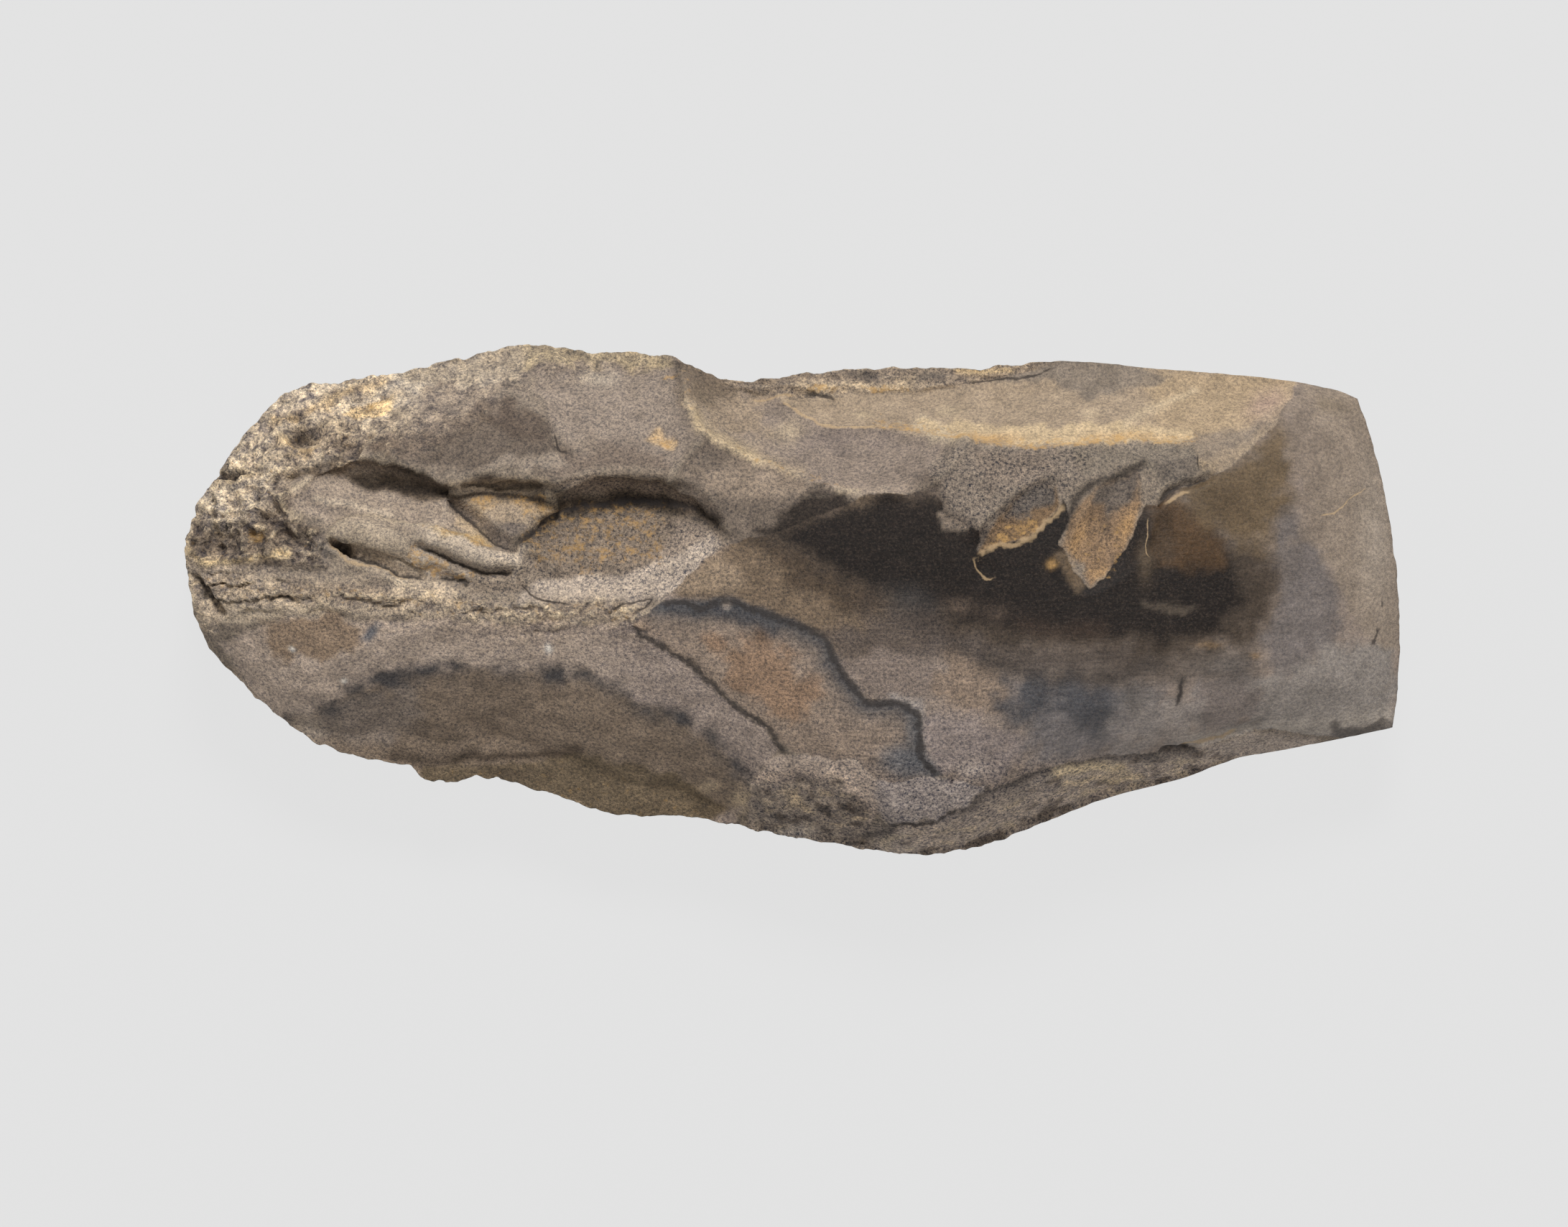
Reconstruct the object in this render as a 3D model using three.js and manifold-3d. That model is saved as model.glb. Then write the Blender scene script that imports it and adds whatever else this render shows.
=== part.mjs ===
// Axe head of fine-grained chert, one piece of stone with no haft. It was flaked to shape from a
// nodule, then ground smooth on its broad faces and at the cutting edge. The nodule's rough skin
// is left at the butt. It lies on its lower broad face.
// Millimetres. +X points to the cutting edge, +Y runs across the broad face, and +Z is up.

import * as THREE from 'three';
import { mergeVertices } from 'three/addons/utils/BufferGeometryUtils.js';
import Module from 'manifold-3d';

const wasm = await Module();
wasm.setup();

// ---- Driving dimensions ----

const HALF_LENGTH = 70;
const MID_HEIGHT = 15;          // height of the sharp rim between the two broad faces
const EDGE_REACH = 69.85;       // foremost point of the cutting edge
const EDGE_RADIUS = 80;         // curve of the cutting edge in plan
const EDGE_CENTRE_Y = -4;       // where across the blade that foremost point lies
const FACE_ROUNDING = 0.9;      // below 1, the flanks fall more steeply to the rim
const RIM_BEVEL = Math.tan(THREE.MathUtils.degToRad(22));  // slope at which scars run out to the rim
const BEVEL_HEIGHT = 5.5;       // how far in from the rim that slope holds, as height
const REST_FACET_DEPTH = 0.5;   // how much is ground off the lowest part of the underside

const BLANK_STEPS_ALONG = 44;
const BLANK_STEPS_ACROSS = 16;
const SCAR_STEP = 3.5;          // spacing of the points on a scar, along its rim and in from it
const SCAR_OVERRUN = 1.07;      // a scar's cutter goes on a little past its rim, to clear the face
const CLEAR_OF_STONE = 40;      // how far the cutters stand off the stone

// ---- Outline in plan ----

// A smooth line through a few [place, value] points, each point's slope taken from its neighbours.
function lineThrough(points) {
  const last = points.length - 1;
  const slopes = points.map((_, i) => {
    const before = points[Math.max(i - 1, 0)];
    const after = points[Math.min(i + 1, last)];
    return (after[1] - before[1]) / (after[0] - before[0]);
  });
  return (place) => {
    const p = THREE.MathUtils.clamp(place, points[0][0], points[last][0]);
    const next = points.findIndex((point) => point[0] > p);
    const i = next === -1 ? last - 1 : next - 1;
    const gap = points[i + 1][0] - points[i][0];
    const k = (p - points[i][0]) / gap;
    const rest = 1 - k;
    return points[i][1] * (1 + 2 * k) * rest * rest
      + points[i + 1][1] * k * k * (3 - 2 * k)
      + gap * (slopes[i] * k * rest * rest - slopes[i + 1] * k * k * rest);
  };
}

// The two long sides: Y of the rim at each X.
const upperSide = lineThrough([
  [-70, 11], [-66.2, 15.2], [-63, 19.4], [-59, 23.4], [-54, 24.9], [-46, 26.2], [-39, 27.8],
  [-32, 29.4], [-24, 28.7], [-15, 28.2], [-7, 25.3], [0, 26], [12, 26.8], [23, 26.9],
  [31, 27.6], [42, 26.7], [54, 25.7], [61, 24.6], [65.2, 23.2], [70, 20],
]);
const lowerSide = lineThrough([
  [-70, -3], [-67.5, -5.8], [-60, -13], [-54, -17.1], [-44.5, -19.3], [-42, -21], [-36, -20.6],
  [-30, -21.8], [-21, -24.8], [-12, -25], [-3, -26.9], [5, -28.3], [14, -29.5], [21, -28.5],
  [28, -26.1], [36, -23], [45, -20.6], [51, -18.4], [58, -17.1], [68.2, -15], [70, -14.5],
]);

// The butt end: X of the rim, from the lower corner (0) to the upper corner (1).
const buttEnd = lineThrough([
  [0, -67.5], [0.1, -68.9], [0.2, -69.3], [0.35, -69.8], [0.5, -70], [0.72, -69.8],
  [0.84, -69.1], [0.92, -67.8], [1, -66],
]);

// The cutting edge is one shallow arc.
function cuttingEdge(y) {
  return EDGE_REACH - EDGE_RADIUS + Math.sqrt(EDGE_RADIUS ** 2 - (y - EDGE_CENTRE_Y) ** 2);
}

// Where a point of the plan lies: share of the way from butt to edge (0 to 1), and how far it
// is off the middle line, as a share of the half width (-1 at the lower side, 1 at the upper).
function placeInPlan(x, y) {
  const low = lowerSide(x);
  const high = upperSide(x);
  const rise = THREE.MathUtils.clamp((y - low) / (high - low), 0, 1);
  const butt = buttEnd(rise);
  return {
    along: (x - butt) / (cuttingEdge(y) - butt),
    across: 2 * (y - low) / (high - low) - 1,
    halfWidth: (high - low) / 2,
  };
}

// The same the other way round. X and Y depend on each other a little, so a few turns settle them.
function pointInPlan(along, across) {
  const rise = (across + 1) / 2;
  const butt = buttEnd(rise);
  let x = -HALF_LENGTH + 2 * HALF_LENGTH * along;
  let y = 0;
  for (let turn = 0; turn < 8; turn += 1) {
    y = THREE.MathUtils.lerp(lowerSide(x), upperSide(x), rise);
    x = THREE.MathUtils.lerp(butt, cuttingEdge(y), along);
  }
  return [x, y];
}

// ---- Thickness ----

// All of these run from -70 at the butt to 70 at the cutting edge.
const domeHeight = lineThrough([
  [-70, 4.5], [-66, 7], [-60, 9.3], [-48, 11.4], [-30, 12.6], [-10, 13.6], [8, 14.2],
  [25, 13.9], [40, 12.7], [50, 10.7], [58, 8], [64, 5.1], [68, 2.2], [70, 0],
]);
const rimHeight = lineThrough([[-70, 2.4], [-62, 1.6], [-45, 0.8], [0, 0.5], [55, 0.5], [64, 0.3], [70, 0.15]]);
const upperFlankFullness = lineThrough([[-70, 2.6], [-20, 2.8], [20, 3], [45, 3.6], [60, 5], [70, 6]]);
const lowerFlankFullness = lineThrough([
  [-70, 2.4], [-40, 2.6], [-15, 3.2], [5, 4.2], [30, 4.4], [45, 4.4], [60, 5], [70, 6],
]);

// A flaked rim isn't straight: seen from the side, it waves up and down.
const upperRimWave = lineThrough([[-70, 0], [-50, 1.2], [-30, -1], [-8, 1.8], [15, -1.5], [35, 0.8], [55, 0], [70, 0]]);
const lowerRimWave = lineThrough([[-70, 0], [-55, -1.5], [-35, -2.5], [-10, -1], [12, 1.5], [35, -0.8], [58, 0], [70, 0]]);

// The unflaked stone at a point of the plan: height of its middle, and of a face above or below it.
function stoneAt(x, y) {
  const { along, across, halfWidth } = placeInPlan(x, y);
  const station = THREE.MathUtils.clamp(-HALF_LENGTH + 2 * HALF_LENGTH * along, -HALF_LENGTH, HALF_LENGTH);
  const off = Math.min(Math.abs(across), 1);
  const fullness = across > 0 ? upperFlankFullness(station) : lowerFlankFullness(station);
  const wave = across > 0 ? upperRimWave(station) : lowerRimWave(station);
  const rim = rimHeight(station);
  const bevel = Math.min(Math.abs(1 - Math.abs(across)) * halfWidth * RIM_BEVEL, BEVEL_HEIGHT);
  return {
    middle: MID_HEIGHT + wave * off * off,
    face: rim + domeHeight(station) * (1 - off ** fullness) ** FACE_ROUNDING,
    bevel: rim + bevel,
  };
}

// ---- Closed meshes and solids ----

// A closed solid from a geometry whose points have been moved, its faces turned outwards.
function solidFrom(geometry) {
  geometry.deleteAttribute('normal');
  geometry.deleteAttribute('uv');
  const merged = mergeVertices(geometry, 1e-4);
  const positions = merged.attributes.position.array;
  const corner = (i) => new THREE.Vector3().fromArray(positions, 3 * i);
  const triangles = [];
  let volume = 0;
  for (let i = 0; i < merged.index.count; i += 3) {
    const [a, b, c] = [0, 1, 2].map((k) => merged.index.getX(i + k));
    if (a !== b && b !== c && c !== a) {
      triangles.push([a, b, c]);
      volume += corner(a).dot(corner(b).cross(corner(c)));
    }
  }
  const outward = volume > 0 ? triangles : triangles.map(([a, b, c]) => [a, c, b]);
  return new wasm.Manifold(new wasm.Mesh({
    numProp: 3,
    vertProperties: Float32Array.from(positions),
    triVerts: Uint32Array.from(outward.flat()),
  }));
}

function geometryFrom(solid) {
  const mesh = solid.getMesh();
  const geometry = new THREE.BufferGeometry();
  geometry.setAttribute('position', new THREE.BufferAttribute(mesh.vertProperties, 3));
  geometry.setIndex(new THREE.BufferAttribute(mesh.triVerts, 1));
  geometry.computeVertexNormals();
  return geometry;
}

function moveEachPoint(geometry, move) {
  const position = geometry.attributes.position;
  const point = new THREE.Vector3();
  for (let i = 0; i < position.count; i += 1) {
    point.fromBufferAttribute(position, i);
    position.setXYZ(i, ...move(point));
  }
  return geometry;
}

// ---- The blank: a box grid drawn out to the plan and swelled to the two domed faces ----

function makeBlank() {
  const box = new THREE.BoxGeometry(2, 2, 2, BLANK_STEPS_ALONG, BLANK_STEPS_ACROSS, 1);
  return solidFrom(moveEachPoint(box, (point) => {
    const across = point.y * (1.4 - 0.4 * point.y * point.y);  // closer rows towards the rims
    const [x, y] = pointInPlan((point.x + 1) / 2, across);
    const stone = stoneAt(x, y);
    return [x, y, stone.middle + Math.sign(point.z) * stone.face];
  }));
}

// ---- Flake scars ----

// Each flake left a shallow hollow with an oval rim. at is its centre, reach its half length and
// half width, turn their direction in degrees, deepest where its lowest point lies (in shares of the
// reach), depth how deep that is below the domed face, and bowl how squarely it drops at the rim.
const UPPER_SCARS = {
  // broad scars struck from the upper rim
  wideScar: { at: [3.5, 24.5], reach: [17.5, 12.6], turn: -4, deepest: [0.1, -0.15], depth: 4.2, bowl: 2.2 },
  longScar: { at: [21, 27.5], reach: [29, 9.8], turn: 0, deepest: [0, -0.1], depth: 4.6, bowl: 2.2 },
  bitScar: { at: [43, 27.5], reach: [17, 11], turn: 18, deepest: [-0.1, -0.25], depth: 3.8, bowl: 2.2 },
  shoulderScar: { at: [-19.5, 25], reach: [10, 10], turn: 0, deepest: [0, 0.1], depth: 2.2, bowl: 2.2 },
  skinScar: { at: [-37, 26], reach: [12, 9], turn: 5, deepest: [0, 0], depth: 1.3, bowl: 2.2 },
  buttScar: { at: [-54, 21], reach: [10, 6], turn: 25, deepest: [0, 0], depth: 1.2, bowl: 2.2 },
  // three stepped hollows in the middle, steep on their upper side where the flakes broke off
  deepStep: { at: [-20, 6.2], reach: [12.8, 8.4], turn: 8, deepest: [0.15, 0.62], depth: 4.2, bowl: 1.7 },
  smallStep: { at: [-34, 9.5], reach: [7.5, 5], turn: 0, deepest: [0, 0.6], depth: 3.2, bowl: 1.8 },
  buttStep: { at: [-47.5, 11.3], reach: [9.5, 4.4], turn: -10, deepest: [0, 0.5], depth: 2.6, bowl: 1.8 },
  // the narrow groove under the long lump beside them
  groove: { at: [-45.5, 4.2], reach: [8.5, 2], turn: -22, deepest: [0, 0.3], depth: 1.5, bowl: 2 },
  // the large hollow along the lower rim, the scallop beside it and the thin facet beyond
  greatScar: { at: [-32, -24], reach: [33, 22], turn: 0, deepest: [0.1, -0.1], depth: 4.6, bowl: 2.4 },
  scallop: { at: [2.5, -26], reach: [9, 8.7], turn: 0, deepest: [0, 0], depth: 2, bowl: 2.2 },
  lowerFacet: { at: [34, -27.5], reach: [24, 8], turn: 15, deepest: [0, -0.1], depth: 3.2, bowl: 2.2 },
  // two small leaf-shaped chips that the grinding didn't reach
  leafChip: { at: [25.8, 9.6], reach: [7, 2.4], turn: 38, deepest: [0, 0.3], depth: 1.2, bowl: 2.2 },
  tongueChip: { at: [36.6, 8.2], reach: [8.5, 4], turn: 62, deepest: [0, 0.1], depth: 1.4, bowl: 2.2 },
};

const LOWER_SCARS = {
  // struck from the upper rim, butt to bit
  buttUpper: { at: [-54, 20], reach: [13, 9], turn: 20, deepest: [0, 0.1], depth: 2.2, bowl: 2.2 },
  skinUpper: { at: [-34, 26], reach: [12, 13], turn: 0, deepest: [0.1, -0.1], depth: 3, bowl: 2.2 },
  bodyUpper: { at: [-12, 26], reach: [14, 13], turn: -6, deepest: [0, -0.1], depth: 3.6, bowl: 2.2 },
  waistUpper: { at: [12, 27], reach: [14, 12], turn: 8, deepest: [-0.1, 0], depth: 3.4, bowl: 2.2 },
  bitUpper: { at: [35, 28], reach: [16, 11], turn: -4, deepest: [0, 0], depth: 3, bowl: 2.2 },
  // struck from the lower rim, butt to bit
  buttLower: { at: [-55, -16], reach: [14, 10], turn: -28, deepest: [0, 0], depth: 2.6, bowl: 2.2 },
  skinLower: { at: [-36, -21], reach: [12, 13], turn: 0, deepest: [0, 0.1], depth: 3.4, bowl: 2.2 },
  bodyLower: { at: [-14, -26], reach: [14, 14], turn: 0, deepest: [0.1, 0], depth: 3.8, bowl: 2.2 },
  waistLower: { at: [9, -29], reach: [13, 12], turn: 5, deepest: [0, 0.1], depth: 3, bowl: 2.2 },
  bitLower: { at: [31, -26], reach: [17, 9.5], turn: 14, deepest: [0, 0], depth: 2.8, bowl: 2.2 },
  // a short step in the middle
  middleStep: { at: [-41, 3], reach: [9, 5], turn: 10, deepest: [0.1, 0.5], depth: 1.6, bowl: 1.8 },
};

// The body that cuts one scar out of a face: side 1 for the upper face and -1 for the lower one.
// It is a lathe shape whose rings are spread from the deepest point out to the oval rim.
function scarCutter({ at, reach, turn, deepest, depth, bowl }, side) {
  const rings = Math.max(Math.round(reach[0] / SCAR_STEP), 3);
  const around = Math.max(Math.round(2 * Math.PI * Math.hypot(...reach) / Math.SQRT2 / SCAR_STEP), 16);
  const profile = [];
  for (let ring = 0; ring <= rings; ring += 1) {
    profile.push(new THREE.Vector2(SCAR_OVERRUN * ring / rings, 0));
  }
  profile.push(new THREE.Vector2(SCAR_OVERRUN, 1), new THREE.Vector2(0, 1));
  const low = new THREE.Vector2(...deepest);
  const lathe = new THREE.LatheGeometry(profile, around);
  return solidFrom(moveEachPoint(lathe, (point) => {
    const ring = Math.hypot(point.x, point.z);
    const ray = new THREE.Vector2(point.x, point.z).normalize();
    const inward = low.dot(ray);
    const toRim = Math.sqrt(inward * inward + 1 - low.lengthSq()) - inward;
    const spot = low.clone().addScaledVector(ray, toRim * ring);
    spot.multiply(new THREE.Vector2(...reach));
    spot.rotateAround(new THREE.Vector2(), THREE.MathUtils.degToRad(turn));
    spot.add(new THREE.Vector2(...at));
    const stone = stoneAt(spot.x, spot.y);
    const floor = Math.max(stone.face - depth * (1 - ring ** bowl), stone.bevel);
    return [spot.x, spot.y, stone.middle + side * (point.y > 0.5 ? CLEAR_OF_STONE : floor)];
  }));
}

// ---- The rest facet: the lowest part of the underside, ground flat ----

function groundCutter(stone) {
  const lowest = stone.boundingBox().min[2];
  const slab = new THREE.BoxGeometry(4 * HALF_LENGTH, 4 * HALF_LENGTH, CLEAR_OF_STONE);
  slab.translate(0, 0, lowest + REST_FACET_DEPTH - CLEAR_OF_STONE / 2);
  return solidFrom(slab);
}

// ---- The axe head ----

let stone = makeBlank();
for (const scar of Object.values(UPPER_SCARS)) {
  stone = stone.subtract(scarCutter(scar, 1));
}
for (const scar of Object.values(LOWER_SCARS)) {
  stone = stone.subtract(scarCutter(scar, -1));
}
stone = stone.subtract(groundCutter(stone));

const chert = new THREE.MeshStandardMaterial({ color: '#85796c', roughness: 0.75, metalness: 0 });
const axeHead = new THREE.Mesh(geometryFrom(stone), chert);
axeHead.name = 'axe_head';

// The origin is the middle of the ground it covers.
const reach = new THREE.Box3().setFromObject(axeHead);
const middle = reach.getCenter(new THREE.Vector3());
axeHead.position.set(-middle.x, -middle.y, -reach.min.z);

const group = new THREE.Group();
group.add(axeHead);
export default group;
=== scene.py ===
import math

import bmesh
import bpy
import numpy as np
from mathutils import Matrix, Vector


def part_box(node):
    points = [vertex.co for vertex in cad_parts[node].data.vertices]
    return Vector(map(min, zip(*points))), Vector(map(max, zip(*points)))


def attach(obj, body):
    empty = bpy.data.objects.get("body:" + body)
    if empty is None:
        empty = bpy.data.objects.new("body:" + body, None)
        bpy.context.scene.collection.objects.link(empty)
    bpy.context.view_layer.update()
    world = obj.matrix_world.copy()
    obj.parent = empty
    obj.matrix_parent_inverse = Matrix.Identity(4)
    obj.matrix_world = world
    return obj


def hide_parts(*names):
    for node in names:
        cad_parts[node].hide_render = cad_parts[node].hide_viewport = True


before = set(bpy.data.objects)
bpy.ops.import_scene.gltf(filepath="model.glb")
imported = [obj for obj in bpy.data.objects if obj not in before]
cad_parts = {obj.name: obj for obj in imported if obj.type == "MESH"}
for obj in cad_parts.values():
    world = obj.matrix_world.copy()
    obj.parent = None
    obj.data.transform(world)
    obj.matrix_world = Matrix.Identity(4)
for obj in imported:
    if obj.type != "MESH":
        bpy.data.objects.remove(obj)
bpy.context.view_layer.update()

# ---------------------------------------------------------------------------------------------
# The axe head: plan and thickness.
# One piece of fine-grained chert, flaked from a nodule and then ground smooth on its broad faces
# and bit. The plan, the two domed faces and the flake scars are those of the solid it stands for.
# Lengths in this section are millimetres from the middle of the stone, with +X to the bit.
# ---------------------------------------------------------------------------------------------

MM = 0.001
HALF_LENGTH = 70.0
MID_HEIGHT = 15.0               # height of the sharp rim between the two broad faces
EDGE_REACH = 69.85              # foremost point of the cutting edge
EDGE_RADIUS = 80.0              # curve of the cutting edge in plan
EDGE_CENTRE_Y = -4.0
FACE_ROUNDING = 0.9
RIM_BEVEL = math.tan(math.radians(22))
BEVEL_HEIGHT = 5.5


def line_through(points):
    """A smooth line through a few (place, value) points, each slope taken from the neighbours."""
    places, values = np.array(points, float).T
    after = np.minimum(np.arange(len(places)) + 1, len(places) - 1)
    before = np.maximum(np.arange(len(places)) - 1, 0)
    slopes = (values[after] - values[before]) / (places[after] - places[before])

    def value_at(place):
        p = np.clip(place, places[0], places[-1])
        i = np.clip(np.searchsorted(places, p, side="right") - 1, 0, len(places) - 2)
        gap = places[i + 1] - places[i]
        k = (p - places[i]) / gap
        rest = 1 - k
        ends = values[i] * (1 + 2 * k) * rest**2 + values[i + 1] * k**2 * (3 - 2 * k)
        return ends + gap * (slopes[i] * k * rest**2 - slopes[i + 1] * k**2 * rest)

    return value_at


upper_side = line_through([
    (-70, 11), (-66.2, 15.2), (-63, 19.4), (-59, 23.4), (-54, 24.9), (-46, 26.2), (-39, 27.8),
    (-32, 29.4), (-24, 28.7), (-15, 28.2), (-7, 25.3), (0, 26), (12, 26.8), (23, 26.9),
    (31, 27.6), (42, 26.7), (54, 25.7), (61, 24.6), (65.2, 23.2), (70, 20)])
lower_side = line_through([
    (-70, -3), (-67.5, -5.8), (-60, -13), (-54, -17.1), (-44.5, -19.3), (-42, -21), (-36, -20.6),
    (-30, -21.8), (-21, -24.8), (-12, -25), (-3, -26.9), (5, -28.3), (14, -29.5), (21, -28.5),
    (28, -26.1), (36, -23), (45, -20.6), (51, -18.4), (58, -17.1), (68.2, -15), (70, -14.5)])
butt_end = line_through([
    (0, -67.5), (0.1, -68.9), (0.2, -69.3), (0.35, -69.8), (0.5, -70), (0.72, -69.8),
    (0.84, -69.1), (0.92, -67.8), (1, -66)])
dome_height = line_through([
    (-70, 4.5), (-66, 7), (-60, 9.3), (-48, 11.4), (-30, 12.6), (-10, 13.6), (8, 14.2),
    (25, 13.9), (40, 12.7), (50, 10.7), (58, 8), (64, 5.1), (68, 2.2), (70, 0)])
rim_height = line_through([
    (-70, 2.4), (-62, 1.6), (-45, 0.8), (0, 0.5), (55, 0.5), (64, 0.3), (70, 0.15)])
upper_fullness = line_through([(-70, 2.6), (-20, 2.8), (20, 3), (45, 3.6), (60, 5), (70, 6)])
lower_fullness = line_through([
    (-70, 2.4), (-40, 2.6), (-15, 3.2), (5, 4.2), (30, 4.4), (45, 4.4), (60, 5), (70, 6)])
upper_wave = line_through([
    (-70, 0), (-50, 1.2), (-30, -1), (-8, 1.8), (15, -1.5), (35, 0.8), (55, 0), (70, 0)])
lower_wave = line_through([
    (-70, 0), (-55, -1.5), (-35, -2.5), (-10, -1), (12, 1.5), (35, -0.8), (58, 0), (70, 0)])


def cutting_edge(y):
    """How far the edge reaches at a height y in plan."""
    return EDGE_REACH - EDGE_RADIUS + np.sqrt(EDGE_RADIUS**2 - (y - EDGE_CENTRE_Y)**2)


def place_in_plan(x, y):
    """Station from butt to bit, share of the half width off the middle line, and half width."""
    low, high = lower_side(x), upper_side(x)
    rise = (y - low) / (high - low)
    butt = butt_end(np.clip(rise, 0, 1))
    along = (x - butt) / (cutting_edge(y) - butt)
    station = np.clip(HALF_LENGTH * (2 * along - 1), -HALF_LENGTH, HALF_LENGTH)
    return station, 2 * rise - 1, (high - low) / 2


def point_in_plan(along, across):
    """The other way round. X and Y depend on each other a little, so a few turns settle them."""
    rise = (across + 1) / 2
    butt = butt_end(rise)
    x = HALF_LENGTH * (2 * along - 1)
    for _ in range(8):
        y = lower_side(x) + (upper_side(x) - lower_side(x)) * rise
        x = butt + (cutting_edge(y) - butt) * along
    return x, y


# Each flake left a shallow hollow with an oval rim: centre, half length and half width, turn in
# degrees, where it is deepest (in shares of the reach), depth, and how squarely it drops.
UPPER_SCARS = {
    "wide scar": ((3.5, 24.5), (17.5, 12.6), -4, (0.1, -0.15), 4.2, 2.2),
    "long scar": ((21, 27.5), (29, 9.8), 0, (0, -0.1), 4.6, 2.2),
    "bit scar": ((43, 27.5), (17, 11), 18, (-0.1, -0.25), 3.8, 2.2),
    "shoulder scar": ((-19.5, 25), (10, 10), 0, (0, 0.1), 2.2, 2.2),
    "skin scar": ((-37, 26), (12, 9), 5, (0, 0), 1.3, 2.2),
    "butt scar": ((-54, 21), (10, 6), 25, (0, 0), 1.2, 2.2),
    "deep step": ((-20, 6.2), (12.8, 8.4), 8, (0.15, 0.62), 4.2, 1.7),
    "small step": ((-34, 9.5), (7.5, 5), 0, (0, 0.6), 3.2, 1.8),
    "butt step": ((-47.5, 11.3), (9.5, 4.4), -10, (0, 0.5), 2.6, 1.8),
    "groove": ((-45.5, 4.2), (8.5, 2), -22, (0, 0.3), 1.5, 2),
    "great scar": ((-32, -24), (33, 22), 0, (0.1, -0.1), 4.6, 2.4),
    "scallop": ((2.5, -26), (9, 8.7), 0, (0, 0), 2, 2.2),
    "lower facet": ((34, -27.5), (24, 8), 15, (0, -0.1), 3.2, 2.2),
    "leaf chip": ((25.8, 9.6), (7, 2.4), 38, (0, 0.3), 1.2, 2.2),
    "tongue chip": ((36.6, 8.2), (8.5, 4), 62, (0, 0.1), 1.4, 2.2),
}
LOWER_SCARS = {
    "butt upper": ((-54, 20), (13, 9), 20, (0, 0.1), 2.2, 2.2),
    "skin upper": ((-34, 26), (12, 13), 0, (0.1, -0.1), 3, 2.2),
    "body upper": ((-12, 26), (14, 13), -6, (0, -0.1), 3.6, 2.2),
    "waist upper": ((12, 27), (14, 12), 8, (-0.1, 0), 3.4, 2.2),
    "bit upper": ((35, 28), (16, 11), -4, (0, 0), 3, 2.2),
    "butt lower": ((-55, -16), (14, 10), -28, (0, 0), 2.6, 2.2),
    "skin lower": ((-36, -21), (12, 13), 0, (0, 0.1), 3.4, 2.2),
    "body lower": ((-14, -26), (14, 14), 0, (0.1, 0), 3.8, 2.2),
    "waist lower": ((9, -29), (13, 12), 5, (0, 0.1), 3, 2.2),
    "bit lower": ((31, -26), (17, 9.5), 14, (0, 0), 2.8, 2.2),
    "middle step": ((-41, 3), (9, 5), 10, (0.1, 0.5), 1.6, 1.8),
}


def scar_depth(scar, x, y):
    """Depth of one scar below the domed face: 0 at its oval rim, and below 0 outside it."""
    (cx, cy), (long, wide), turn, (fx, fy), depth, bowl = scar
    c, s = math.cos(math.radians(turn)), math.sin(math.radians(turn))
    dx = ((x - cx) * c + (y - cy) * s) / long - fx
    dy = ((y - cy) * c - (x - cx) * s) / wide - fy
    room = 1 - fx * fx - fy * fy
    inward = fx * dx + fy * dy
    ring = (inward + np.sqrt(inward**2 + room * (dx * dx + dy * dy))) / room
    return depth * (1 - ring**bowl)


def face_height(x, y, scars):
    """Height of a face off the middle plane, how deep its deepest scar is, and the rim's wave."""
    station, across, half_width = place_in_plan(x, y)
    off = np.minimum(np.abs(across), 1)
    fullness = np.where(across > 0, upper_fullness(station), lower_fullness(station))
    wave = np.where(across > 0, upper_wave(station), lower_wave(station)) * off**2
    rim = rim_height(station)
    dome = rim + dome_height(station) * (1 - off**fullness)**FACE_ROUNDING
    bevel = rim + np.minimum((1 - off) * half_width * RIM_BEVEL, BEVEL_HEIGHT)
    depth = np.max([scar_depth(scar, x, y) for scar in scars.values()], axis=0)
    floor = np.maximum(dome - np.maximum(depth, 0), np.minimum(bevel, dome))
    return floor, depth, wave


# ---------------------------------------------------------------------------------------------
# The axe head: its mesh.
# A square sheet is thickened to a slab and drawn out to the plan. Its two sheets take the domed
# faces with their scars, and the strip between them becomes the rim. The plainer lower sheet
# keeps only every second line of edges each way.
# ---------------------------------------------------------------------------------------------

COLUMNS = 430
ROWS = 172
RIM_ROWS = 3
RIM_CROWDING = 0.3              # how much closer the rows lie at the two long sides
BUTT_CROWDING = 0.28            # how much closer the columns lie at the butt

stone = bmesh.new()
bmesh.ops.create_grid(stone, x_segments=COLUMNS, y_segments=ROWS, size=1)
under = stone.faces[:]
raised = bmesh.ops.extrude_face_region(stone, geom=under)["geom"]
over = [item for item in raised if isinstance(item, bmesh.types.BMVert)]
bmesh.ops.translate(stone, verts=over, vec=(0, 0, 1))
uprights = [edge for edge in stone.edges if abs(edge.verts[0].co.z - edge.verts[1].co.z) > 0.5]
bmesh.ops.subdivide_edges(stone, edges=uprights, cuts=RIM_ROWS - 1, use_grid_fill=True)
stone.normal_update()
spare = []
for edge in stone.edges:
    if not edge.is_boundary and all(face.normal.z < -0.5 for face in edge.link_faces):
        column, row = [(edge.verts[0].co[k] + 1) * (COLUMNS, ROWS)[k] / 2 for k in (0, 1)]
        upright = abs(edge.verts[0].co.x - edge.verts[1].co.x) < 0.5 / COLUMNS
        if round(column if upright else row) % 2:
            spare.append(edge)
bmesh.ops.dissolve_edges(stone, edges=spare, use_verts=True)
axe_mesh = bpy.data.meshes.new("axe_head_stone")
stone.to_mesh(axe_mesh)
stone.free()


def read(mesh, field, width):
    """One row of numbers for each vertex, such as its place or its normal."""
    values = np.empty(width * len(mesh.vertices))
    mesh.vertices.foreach_get(field, values)
    return values.reshape(-1, width)


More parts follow.
